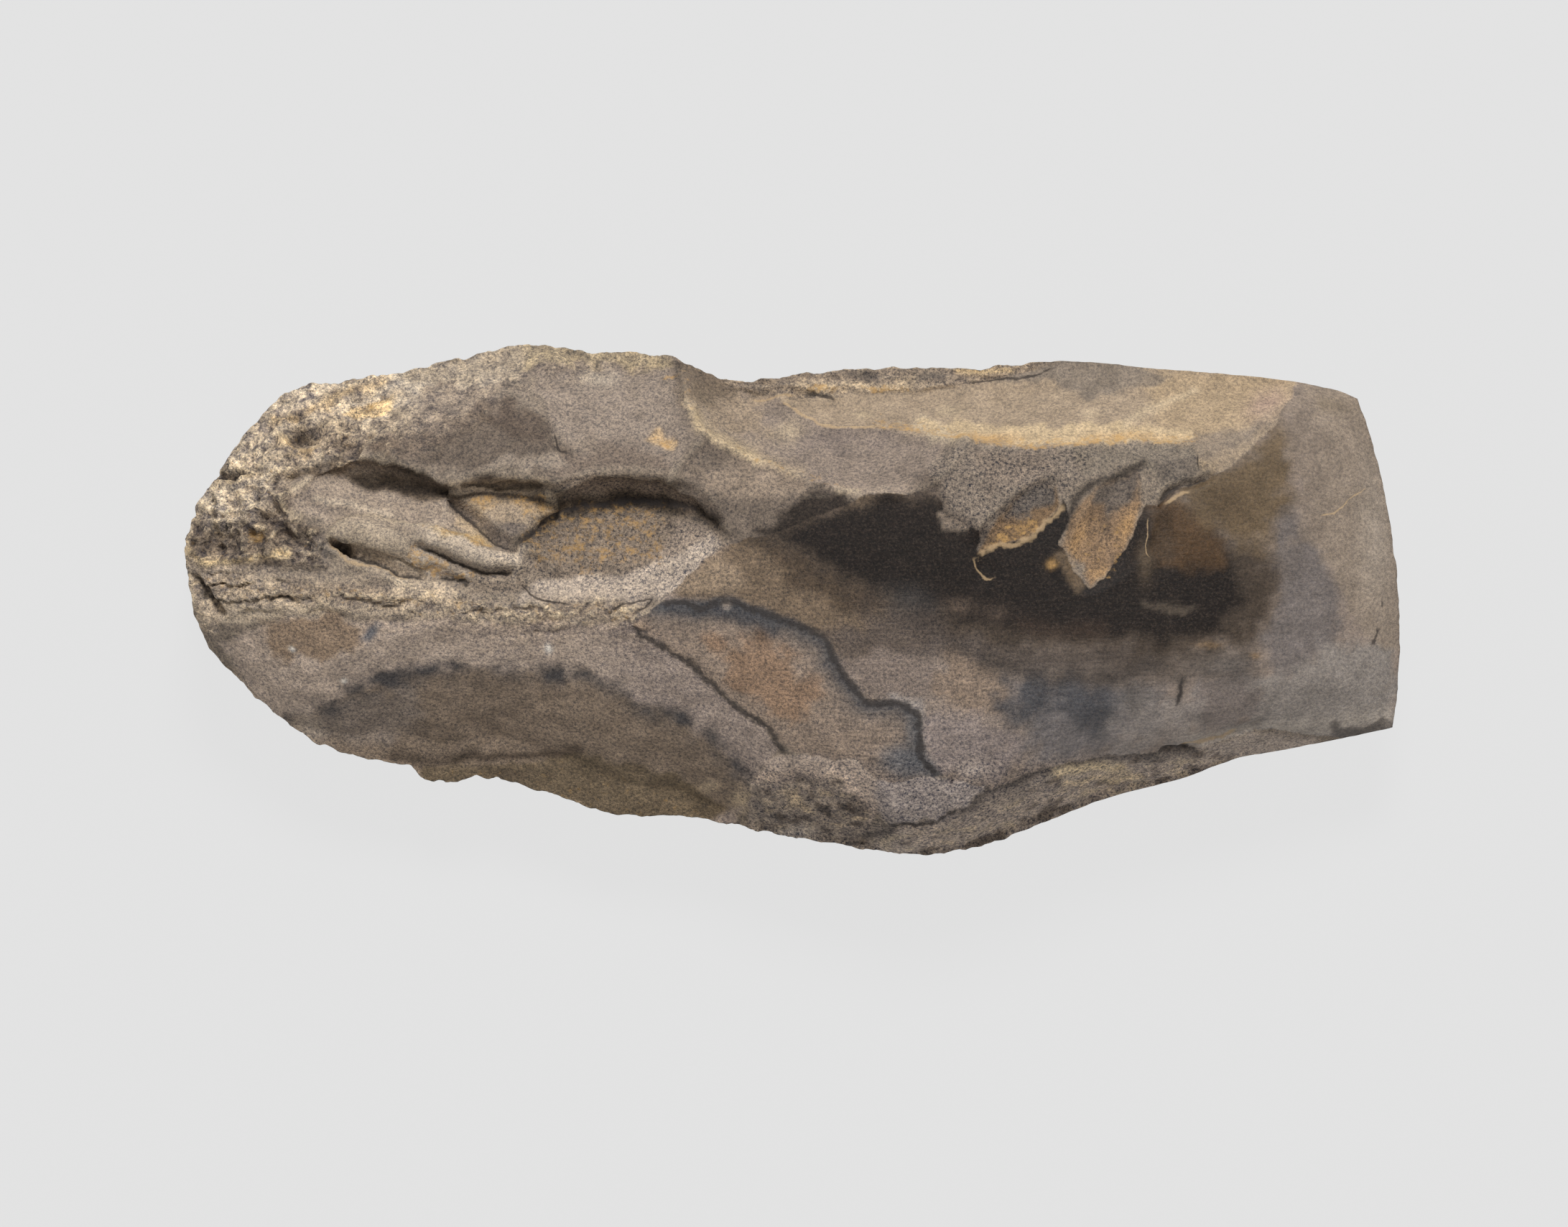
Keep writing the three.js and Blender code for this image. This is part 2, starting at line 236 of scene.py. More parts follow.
def noise(places, size, seed):
    """Smooth noise between about -1 and 1, its features size mm across (gradients on a lattice)."""
    p = places / size + 31.7 * seed
    cell = np.floor(p).astype(np.int64)
    part = p - cell
    ease = part**3 * (part * (part * 6 - 15) + 10)
    total = np.zeros(len(places))
    for corner in np.ndindex(2, 2, 2):
        c = cell + corner
        # Whole numbers mixed from the corner's place give the gradient there.
        mixed = (c[:, 0] * 73856093) ^ (c[:, 1] * 19349663) ^ (c[:, 2] * 83492791)
        mixed = (mixed * 2654435761) & 0xFFFFFFFF
        mixed = ((mixed ^ (mixed >> 15)) * 2246822519) & 0xFFFFFFFF
        mixed = mixed ^ (mixed >> 13)
        gradient = np.stack([mixed & 1023, (mixed >> 10) & 1023, (mixed >> 20) & 1023], 1) / 511.5 - 1
        weight = np.prod(np.where(corner, ease, 1 - ease), axis=1)
        total += weight * np.sum(gradient * (part - corner), axis=1)
    return 1.5 * total


def layered(places, size, seed, layers=3):
    """Noise with finer, weaker noise on top of it."""
    return sum(noise(places, size / 2**k, seed + k) / 2**k for k in range(layers))


def fade(low, high, value):
    """0 below low, 1 above high, and a smooth rise between."""
    k = np.clip((value - low) / (high - low), 0, 1)
    return k * k * (3 - 2 * k)


grid = read(axe_mesh, "co", 3)
across = grid[:, 1] * (1 + RIM_CROWDING - RIM_CROWDING * grid[:, 1]**2)
share_along = (grid[:, 0] + 1) / 2
x, y = point_in_plan(share_along * (1 - BUTT_CROWDING + BUTT_CROWDING * share_along), across)

# The outline is chipped: most at the butt and along the upper rim, least at the ground bit.
flat = np.stack([x, y, np.zeros_like(x)], 1)
bit_end = fade(18, 34, x)
jag = layered(flat, 1.8, 11)
y += np.sign(grid[:, 1]) * np.abs(grid[:, 1])**14 * (0.34 - 0.27 * bit_end) * jag
x += (np.sign(grid[:, 0]) * np.abs(grid[:, 0])**30 * np.where(x > 0, 0.16, 0.24)
      * layered(flat, 2.4, 12))

# Scar rims wander a little, so the scars are read off at slightly shifted places.
wander = 0.45 * (1 - 0.5 * bit_end)
shift_x = wander * layered(flat, 6.0, 13)
shift_y = wander * layered(flat, 6.0, 14)
upper, _, wave = face_height(x + shift_x, y + shift_y, UPPER_SCARS)
lower, lower_depth, _ = face_height(x + shift_x, y + shift_y, LOWER_SCARS)
z = MID_HEIGHT + wave - lower + (upper + lower) * grid[:, 2]
places = np.stack([x, y, z], 1)

# ---------------------------------------------------------------------------------------------
# The axe head: relief finer than the flake scars.
# Ground faces are smooth. Scars are finely uneven, the old skin near the butt is knobbly, and a
# crumbled seam of softer stone runs from the butt to the middle. Chips, cracks and welts follow.
# ---------------------------------------------------------------------------------------------

on_top = fade(0.3, 0.7, grid[:, 2])
below = 1 - on_top
face = np.flatnonzero(grid[:, 2] > 0.3)
# Every line and patch below wanders by a third of a millimetre, as breaks in stone do.
LINE_WANDER = 0.35
face_x = (x + LINE_WANDER * layered(flat, 2.4, 21))[face]
face_y = (y + LINE_WANDER * layered(flat, 2.4, 22))[face]


def on_face(cover):
    """A value for every vertex, from one for each on the upper face. The others get 0."""
    values = np.zeros(len(x))
    values[face] = cover * on_top[face]
    return values


def smooth_line(points, steps=4):
    """More points on a smooth line through a few places."""
    spots = np.array(points, float)
    stations = np.arange(len(spots))
    fine = np.linspace(0, len(spots) - 1, steps * (len(spots) - 1) + 1)
    return np.stack([line_through(np.c_[stations, spots[:, axis]])(fine) for axis in (0, 1)], 1)


def gap_to(line):
    """Distance in mm of each place on the upper face from a line, above 0 on its left side."""
    best = np.full(len(face), 1e9)
    for (ax, ay), (bx, by) in zip(line, line[1:]):
        dx, dy = bx - ax, by - ay
        px, py = face_x - ax, face_y - ay
        k = np.clip((px * dx + py * dy) / (dx * dx + dy * dy), 0, 1)
        gap = np.hypot(px - k * dx, py - k * dy)
        best = np.where(gap < np.abs(best), np.where(dx * py - dy * px > 0, gap, -gap), best)
    return best


def gap_into(outline):
    """Distance in mm of each place on the upper face from a closed outline, above 0 inside it."""
    loop = list(outline) + [outline[0]]
    within = np.zeros(len(face), bool)
    for (ax, ay), (bx, by) in zip(loop, loop[1:]):
        meet = ax + (face_y - ay) * (bx - ax) / (by - ay if by != ay else 1e-9)
        within ^= ((ay > face_y) != (by > face_y)) & (face_x < meet)
    gap = np.abs(gap_to(loop))
    return np.where(within, gap, -gap)


def stroke(line, width):
    """1 along a line, fading over width mm to both sides."""
    return on_face(np.exp(-(gap_to(smooth_line(line)) / width)**2))


def band(line, left, right):
    """1 along a line, fading over left mm on its left side and over right mm on its right."""
    gap = gap_to(smooth_line(line))
    return on_face(np.exp(-(gap / np.where(gap > 0, left, right))**2))


def patch(outline, soft, broken=0):
    """1 inside a closed outline, with a border soft mm wide that is broken up by some mm."""
    return on_face(fade(-0.75 * soft, 0.75 * soft, gap_into(outline) + broken * fine_mottle[face]))


def spot(centre, long, wide, turn=0, power=2):
    """1 at the middle of an oval, fading to its rim: gently, or more squarely at a higher power."""
    c, s = math.cos(math.radians(turn)), math.sin(math.radians(turn))
    dx, dy = face_x - centre[0], face_y - centre[1]
    ring = ((dx * c + dy * s) / long)**2 + ((dy * c - dx * s) / wide)**2
    return on_face(np.exp(-ring**(power / 2)))


mottle = layered(places, 7.0, 61)
fine_mottle = layered(places, 2.6, 65, 4)
folded = places + 0.9 * np.stack([noise(places, 3.0, seed) for seed in (71, 72, 73)], 1)

# What the grinding left smooth: the middle, the dark heart and the bit.
GROUND_FACE = [
    (-18.7, -2.8), (-15, 0), (-10.5, 4.5), (-8, 6.2), (-3, 7.5), (3, 9.5), (8, 11.9), (13, 12),
    (16.2, 12.8), (17.5, 9.5), (21, 8), (20.8, 5.3), (23.5, 6.2), (26.5, 6.6), (28.5, 8.5), (31, 11.5),
    (31.5, 9.5), (30.5, 6.5), (32, 3.5), (33.7, 1.2), (35.5, 2.5), (38.5, 7), (40.2, 11), (41.7, 10.9),
    (43.5, 12.8), (47.8, 14), (51.5, 16.5), (55, 19.8), (57.5, 23.5), (58.5, 27), (72, 27), (72, -16.5),
    (53, -15), (46, -17.3), (36, -18), (30, -19), (25, -20.7), (22.5, -22), (16.5, -20.3), (10.5, -21),
    (7, -18.6), (0, -17.6), (-3, -15), (-9, -10), (-12, -7.3), (-17.5, -4)]
OLD_SKIN = [
    (-72, 20), (-72, -4), (-66, -3), (-62, 3), (-54, 4), (-54, 8), (-58, 10), (-58, 14), (-48, 16.5),
    (-41, 17), (-36, 20), (-33, 24), (-29, 25.5), (-12, 26.5), (-12, 31), (-40, 32)]
CRUMBLED_BUTT = [
    (-72, 15), (-72, 5), (-66, 5), (-60, 5.5), (-54, 4.5), (-52.5, 6), (-57, 9), (-58, 14), (-62, 16)]
CRUMBLED_SEAM = [
    (-69, 2), (-60, 1), (-50, 0.5), (-42, 0), (-36, -1), (-30, -1.6), (-22, -1), (-18.5, -2)]
CRUSHED_RIM = [(-8, 24.6), (0, 23.2), (6, 23.8), (14, 24.2), (22, 25), (30, 27.5), (30, 30), (-8, 30)]

# How far inside ground stone a place lies, in mm. The underside is ground between its
# scars, except at the butt.
ground_gap = np.where(grid[:, 2] > 0.5, 3.0, -2 * lower_depth - 0.2 * np.maximum(-45 - x, 0))
ground_gap[face] = gap_into(GROUND_FACE)
ground = fade(-0.3, 0.3, ground_gap)
skin = patch(OLD_SKIN, 1.5, 1) * (1 - 0.5 * fade(-52, -42, x)) + 0.6 * below * fade(-48, -64, x)
skin = np.clip(skin, 0, 1)
skin *= 1 - 0.5 * patch([(-72, 4.5), (-60, 4.5), (-54, 3.5), (-54, -2), (-72, -4)], 1)
crumbled = np.clip(patch(CRUMBLED_BUTT, 0.8, 1) + 0.5 * below * fade(-56, -66, x), 0, 1)
seam = band(CRUMBLED_SEAM, 1.6, 2.4)
crushed = patch(CRUSHED_RIM, 0.5)


def crags(spots, size, seed):
    """Sharp crests with rounded hollows between them."""
    return 0.5 - 1.4 * np.abs(layered(spots, size, seed, 4))


# Thin beds that broke off in scarps facing the lower long side, each a little off level.
beds = (y + 1.3 * layered(places * (0.4, 1, 1), 3.4, 51)) / 1.7
scarps = np.floor(beds) - beds + 0.5

relief = (1 - ground) * (0.16 * layered(places, 3.2, 31) + 0.06 * noise(places, 1.0, 35))
relief += skin * (0.9 * layered(folded, 5.5, 41) + 0.7 * crags(folded, 3.4, 45)
                  + 0.3 * layered(folded, 1.3, 49))
relief += crumbled * (1.1 * crags(folded, 4.6, 46) + 0.35 * layered(folded, 1.4, 48))
relief += seam * (0.8 * scarps * fade(-0.4, 0.2, mottle) + 0.5 * crags(folded * (0.6, 1, 1), 2.0, 53))
relief += crushed * 0.7 * layered(places * (0.3, 1.3, 1), 1.6, 55)
# A ledge left standing between the small step and the deep one.
relief += 0.9 * patch([(-40, 12.2), (-32, 6.6), (-27, 10.7), (-28, 12.6), (-39, 13)], 0.3)

# Hollows: middle, half length, half width, turn in degrees and depth.
HOLLOWS = [
    # Pits of the old skin and of the crumbled butt.
    ((-57, 18.6), 2.2, 1.4, 10, 1.2), ((-48.2, 22.9), 3.2, 1.6, 15, 0.7),
    ((-45.5, 19.3), 1.6, 0.8, 25, 0.6), ((-62.8, 12.9), 1.6, 1, 15, 0.7),
    ((-64.8, 14.4), 1.8, 0.7, 5, 0.8), ((-64.5, 7.4), 5, 2, 0, 0.8), ((-62, 7.2), 1.6, 1.5, 0, 0.8),
    ((-57, 7.3), 2, 1.3, 0, 1.0), ((-65.5, 2.2), 0.9, 0.6, 30, 0.6),
    # The hole under the first lump, and small chips elsewhere.
    ((-51.6, 5.9), 1.5, 0.6, -33, 2.2), ((-15.3, 18.3), 1.9, 0.8, -20, 0.5),
    ((-49, -3.3), 1.3, 0.7, 40, 0.4), ((42.2, 7.4), 1.4, 3.4, 5, 0.45),
    ((21.8, 3.8), 1.2, 2, -20, 0.4), ((18.2, -20.8), 0.5, 0.9, 20, 0.4)]
for centre, long, wide, turn, deep in HOLLOWS:
    relief -= deep * spot(centre, long, wide, turn, 3)

# Rims of the steps and of the great flakes, and the lumps in the hollow ground of the butt.
STEP_RIM = [
    (-58.5, 14.9), (-54, 15.5), (-52, 16.2), (-49, 16.1), (-45, 15.6), (-43, 14.6), (-41, 13.8),
    (-39.7, 13.3), (-37, 13.7), (-34, 14), (-31, 14), (-29, 13.6), (-27.8, 13.4), (-25, 14),
    (-21, 14.4), (-18, 14.2), (-15, 13.8), (-13, 12.6), (-11, 11), (-9.5, 9.6), (-8.7, 8.5)]
DEEP_BASE = [
    (-31.6, 6.7), (-29.5, 8.2), (-27, 9.9), (-24, 10.7), (-20, 11.3), (-17, 11.3), (-14, 10.9),
    (-11, 10), (-9.3, 9)]
SMALL_BASE = [(-40.5, 12.1), (-38.7, 10.6), (-37, 9.1), (-35.8, 7.9), (-34, 6.6), (-32.2, 5.7)]
BUTT_BASE = [(-57, 14.3), (-54, 14.2), (-50, 13.5), (-46, 12.8), (-43, 12.4), (-40.5, 12.1)]
WIDE_SCAR_RIM = [
    (-13, 26), (-12.2, 21), (-10.8, 18.8), (-6, 16), (0, 14), (5, 12.5), (10, 11.5), (15, 12.7),
    (18, 15), (20, 18)]
LONG_SCAR_RIM = [(20, 18), (27, 17.3), (35, 17.8), (45.5, 17.8), (47.2, 15.5), (47.8, 14.2)]
SCAR_CREST = [(-1.5, 22.8), (0, 21.5), (4, 19.8), (10, 19.6), (14, 18.4), (20, 18)]
LUMP = [(-51.6, 7.6), (-49, 7.3), (-46, 6), (-43.2, 4.2)]
LUMP_EDGE = [
    (-53.3, 7), (-52.4, 8.3), (-51.1, 8.9), (-49.3, 9.1), (-46.7, 8.7), (-43.1, 8.3), (-40.7, 7.8),
    (-38.7, 7), (-36.5, 6.2)]
LUMP_SHADOW = [(-53, 6.7), (-50.4, 5.2), (-48, 4.3), (-45.5, 3.1), (-42.4, 2.5)]
SECOND_LUMP = [(-41.5, 6.8), (-38.5, 5.8), (-35.5, 4.6), (-32, 4)]
SECOND_SHADOW = [(-43.5, 6), (-41, 5.4), (-38.9, 4.4), (-37.4, 3.8), (-35.5, 3.1), (-32.5, 2.9)]
BIT_CRACK = [(41.7, 10.9), (42.5, 12), (44.8, 13.4), (46.3, 13.4), (48, 14.1)]
BUTT_CLEFT = [(-69.8, 2.6), (-68.3, 1.7), (-67.6, 0.3), (-66.3, -1.5)]
SKIN_LEDGE = [(-57, 9.4), (-58.4, 10.6), (-58, 12), (-55.7, 14)]
SEAM_CRACK = [(-60, 0), (-58.5, 0.3), (-57.3, -0.1)]
FOOT_CRACK = [(-31.3, 2.2), (-30, 0.7), (-28, 0), (-25.5, -0.4)]
HOOKED_CRACK = [(-21.2, -1.4), (-19.3, -0.1), (-16.4, 0.2), (-18.6, -1.4)]
BIT_DENT = [(44.5, -9), (44.3, -10.5), (44, -12)]

# Each line is a crest, or a crease where its height is below 0, with its width on its left side
# and on its right.
RIDGES = [
    # Rims and feet of the steps, and rims of the great flakes.
    (0.45, 1.4, 0.25, STEP_RIM), (-0.7, 0.9, 0.9, DEEP_BASE), (-0.8, 0.5, 0.4, SMALL_BASE),
    (-0.6, 0.9, 0.8, BUTT_BASE), (0.5, 1.2, 0.25, WIDE_SCAR_RIM), (0.4, 0.3, 1.2, LONG_SCAR_RIM),
    (0.4, 0.9, 0.5, SCAR_CREST), (0.3, 1.3, 1.3, [(35, 19.3), (41, 21.8), (48, 24)]),
    (0.2, 0.7, 0.7, [(20, 23.3), (24, 22.8), (28, 22.6)]),
    (0.5, 0.8, 0.4, [(-10.8, 18.5), (-12, 16.8), (-14.5, 14.2)]),
    # The two lumps, the creases under them, and the low ridges beside them.
    (1.3, 1.5, 1.7, LUMP), (0.6, 0.3, 1.8, LUMP_EDGE), (-0.9, 0.4, 0.35, LUMP_SHADOW),
    (1.0, 1.3, 1.3, SECOND_LUMP), (-1.1, 0.45, 0.4, SECOND_SHADOW),
    (-0.7, 0.4, 0.3, [(-41.2, 2.4), (-39, 2.1), (-36.6, 2)]),
    (0.4, 0.4, 0.6, [(-53.4, 6), (-51.2, 4.3), (-48, 3.4), (-44.5, 2)]),
    (0.7, 1.2, 0.3, [(-31.4, 5.6), (-29.2, 5.1), (-28, 3.3), (-29.8, 2.8)]),
    (0.5, 0.9, 0.5, SKIN_LEDGE),
    (0.35, 1.2, 0.6, [(-55, 11.5), (-50.6, 10.5), (-47, 9.4)]),
    (-0.3, 0.6, 0.6, [(-36, 3.1), (-28, 2.6), (-20, 2.6)]),
    # Ledges of the old skin and of the butt.
    (1.0, 1.2, 0.6, [(-66, 11.6), (-63, 13.4), (-60.5, 12.6), (-58.5, 11)]),
    (0.9, 0.9, 0.4, [(-69.8, 10.8), (-66.5, 10.2)]),
    (0.7, 0.7, 0.9, [(-69.5, 5.4), (-67, 4.4), (-62, 5.2), (-58, 5)]),
    (0.7, 0.8, 0.8, [(-59, 18.4), (-57.5, 16.8), (-55, 17)]),
    (-0.9, 0.5, 0.4, [(-69, 9.7), (-65.5, 9.6), (-62.5, 9.9), (-60, 8.9)]),
    # Cracks and small breaks.
    (-1.7, 0.6, 0.6, BUTT_CLEFT), (-1.0, 0.45, 0.4, BIT_CRACK),
    (-0.6, 0.4, 0.4, SEAM_CRACK), (-0.6, 0.35, 0.35, FOOT_CRACK), (-0.6, 0.35, 0.35, HOOKED_CRACK),
    (-0.6, 0.3, 0.8, [(-27.8, 20), (-26.9, 17.4), (-25.8, 17)]),
    (-0.3, 0.6, 0.6, [(-39, -18.9), (-30, -18.4), (-25, -17.8)]),
    (-0.6, 0.4, 0.4, [(42.5, -17.6), (46, -17.2)]),
    (-0.4, 0.4, 0.4, [(45, -16.9), (48, -16), (51, -15.1), (53.5, -14.3)])]
for height, left, right, line in RIDGES:
    relief += height * band(line, left, right)

# The relief dies out over the last millimetre at the outline, which stays clean.
at_outline = np.maximum(np.abs(grid[:, 1])**14, np.where(grid[:, 0] < 0, np.abs(grid[:, 0])**45, 0))
relief *= 1 - 0.75 * at_outline

# The relief is laid on along the surface, and the whole kept to the solid's size.
box_low, box_high = (np.array(corner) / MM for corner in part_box("axe_head"))
axe_mesh.vertices.foreach_set("co", places.ravel())
axe_mesh.update()
points = places + read(axe_mesh, "normal", 3) * relief[:, None]
lowest, highest = points.min(axis=0), points.max(axis=0)
points = box_low + (points - lowest) * (box_high - box_low) / (highest - lowest)
axe_mesh.vertices.foreach_set("co", (points * MM).ravel())
axe_mesh.update()
axe_mesh.shade_smooth()

# ---------------------------------------------------------------------------------------------
# The axe head: colours of the stone.
# Chert weathers from dark blue-brown to grey, buff and cream. Freshly ground stone keeps its dark
# heart, old skin goes pale, and ochre earth stays in hollows and under the rims. Raised edges are
# painted pale, as wear and as painted highlight, and painted shade darkens hollows, the walls and
# feet of the steps, some chips and lips, with painted light on a few lit slopes and crests.
# Broken and ground stone are painted apart, and their border is drawn by the material.
# ---------------------------------------------------------------------------------------------


def linear(colour):
    """An sRGB hex colour as linear red, green and blue."""
    parts = np.array([int(colour[i:i + 2], 16) for i in (1, 3, 5)]) / 255
    return np.where(parts <= 0.04045, parts / 12.92, ((parts + 0.055) / 1.055)**2.4)


def paint(tone, coats):
    """Lays colours over a tone one after another, each as far as its cover goes."""
    for colour, cover in coats:
        tone += (linear(colour) - tone) * np.clip(cover, 0, 1)[:, None]


def evened(values, turns):
    """Each point's value evened out with its neighbours', a number of times over."""
    for _ in range(turns):
        total = np.bincount(ends[:, 0], values[ends[:, 1]], len(values))
        total += np.bincount(ends[:, 1], values[ends[:, 0]], len(values))
        values = (values + total / neighbours) / 2
    return values


ends = np.empty(2 * len(axe_mesh.edges), int)
axe_mesh.edges.foreach_get("vertices", ends)
ends = ends.reshape(-1, 2)
neighbours = np.bincount(ends.ravel(), minlength=len(points))
normals = read(axe_mesh, "normal", 3)
proud = np.sum((points - np.stack([evened(points[:, k], 6) for k in range(3)], 1)) * normals, axis=1)

# Broken stone: underside and flanks, grey to olive scars and a buff butt.
scars = np.tile(linear("#84786b"), (len(x), 1))
paint(scars, [
    # Underside, mottled, and buff towards the butt.
    ("#7d6f5d", below * 0.8 * fade(0, 0.5, mottle)),
    ("#6a625c", below * 0.6 * fade(0.1, 0.6, -mottle)),
    ("#9c8b77", below * fade(-48, -64, x))])

# Old skin and the facets behind the upper long side.
paint(scars, [
    # Old skin: grey-brown, and pale along the outline.
    ("#978a7d", patch(OLD_SKIN, 2, 1.5)),
    ("#6f6359", 0.9 * patch([(-53, 17), (-44, 15.5), (-36, 14.3), (-31, 20), (-33, 24), (-38, 21.5),
        (-44, 19)], 1.6, 1.5)),
    ("#a89a89", patch([(-66, 15), (-60, 22), (-52, 26), (-42, 27), (-44, 20), (-52, 17), (-60, 14)],
        1.5, 1.5)),
    ("#cdc0ae", 0.95 * patch([(-68, 13), (-66, 17), (-58, 25.5), (-50, 28), (-34, 31), (-34, 25),
        (-41, 25), (-46, 23.5), (-49, 20.5), (-57, 20.5), (-61, 16.5), (-63.5, 12.5)], 1.2, 1.8)),
    # Two facets behind it, with a pale upper edge and a darker foot.
    ("#8e8175", patch([(-30, 27), (-28, 20), (-27, 18), (-14.5, 14.5), (-11, 18.5), (-13, 27)],
        0.6, 0.5)),
    ("#a89c8d", spot((-22.6, 25.6), 2.2, 1)),
    ("#a8997f", 0.8 * patch([(-32, 26.8), (-24, 27.2), (-14, 26.5), (-13, 29), (-33, 30)], 0.6, 1.2)),
    ("#a69988", 0.9 * patch([(-45, 25.5), (-40, 31), (-31, 31), (-32, 25.4), (-38, 24.6)], 1, 1)),
    ("#776a5f", patch([(-27, 18.5), (-24, 19), (-19, 18), (-14.5, 17), (-14.5, 14.4), (-24, 14.3),
        (-29, 13.8)], 1.2, 1)),
    ("#695e54", patch([(-36, 20.6), (-28.5, 20.6), (-27, 17.2), (-29, 14), (-36, 14.3), (-43, 15.5),
        (-42, 17.5)], 1.2, 1)),
    ("#584c43", 0.7 * patch([(-35, 20.4), (-32.5, 23.5), (-30.5, 22), (-29.5, 20.5), (-28, 18),
        (-33, 18.4)], 0.8, 1)),
    ("#978a7c", 0.8 * patch([(-36, 14.9), (-33, 16.6), (-27, 16.6), (-26, 15.3), (-31, 14.7)], 0.8, 1)
        + 0.6 * spot((-24.5, 17.8), 2, 1.1)),
    # Pits of the old skin.
    ("#4a4037", spot((-57, 18.8), 1.9, 1, 10)),
    ("#4d443a", 0.9 * spot((-56.3, 7.4), 1.8, 1.1)),
    ("#463c34", 0.9 * patch([(-66.3, 15.2), (-62, 15.2), (-66.2, 12.8)], 0.4, 0.5)),
    ("#5a4f46", 0.7 * patch([(-69.8, 10), (-65, 9.6), (-64.5, 7), (-67, 5.6), (-69.8, 6)], 0.7, 0.8)),
    ("#5e5b5b", 0.7 * stroke([(-55.5, 6.6), (-53.5, 5.4), (-52, 4.4)], 0.9)),
    ("#675b52", 0.6 * stroke([(-53, 18.2), (-49, 17.6), (-46, 18.4)], 0.7)),
    # Its lit crests, the cream-yellow patch, and a star-shaped chip.
    ("#e0cfb8", 0.8 * stroke([(-63.4, 15.5), (-60.5, 19.6), (-56, 21.6), (-52.5, 21.6)], 1.2)
        + 0.7 * spot((-55.5, 16.2), 2, 0.9)),
    ("#dcc29a", 0.9 * stroke([(-58.7, 17.8), (-57.4, 16.7), (-55.6, 16.8)], 0.5)),
    ("#d3bfa0", 0.8 * stroke([(-66, 12.5), (-63.5, 14), (-60.8, 14.4)], 0.5)),
    ("#d3bc94", 0.8 * stroke([(-69.4, 5.6), (-67.1, 4.3), (-60.1, 5.3), (-58, 5.1)], 0.5)),
    ("#cdb68e", 0.8 * stroke([(-63.4, 8.6), (-61.4, 8.6), (-60.6, 7.2)], 0.35)),
    ("#e2c79c", 0.9 * patch([(-52.5, 21.2), (-48.5, 23.7), (-46, 23.8), (-46.5, 22.3), (-48, 21.4)],
        0.4, 0.5)),
    ("#c4ab86", 0.7 * stroke([(-60, 20.5), (-56, 21.2), (-52, 23.8), (-47.5, 25.2)], 0.6)),
    ("#c4a883", 0.8 * patch([(-17, 18.4), (-15.7, 19.8), (-14.8, 18.6), (-13.6, 18.3), (-14, 17.2),
        (-15.6, 18)], 0.25))])

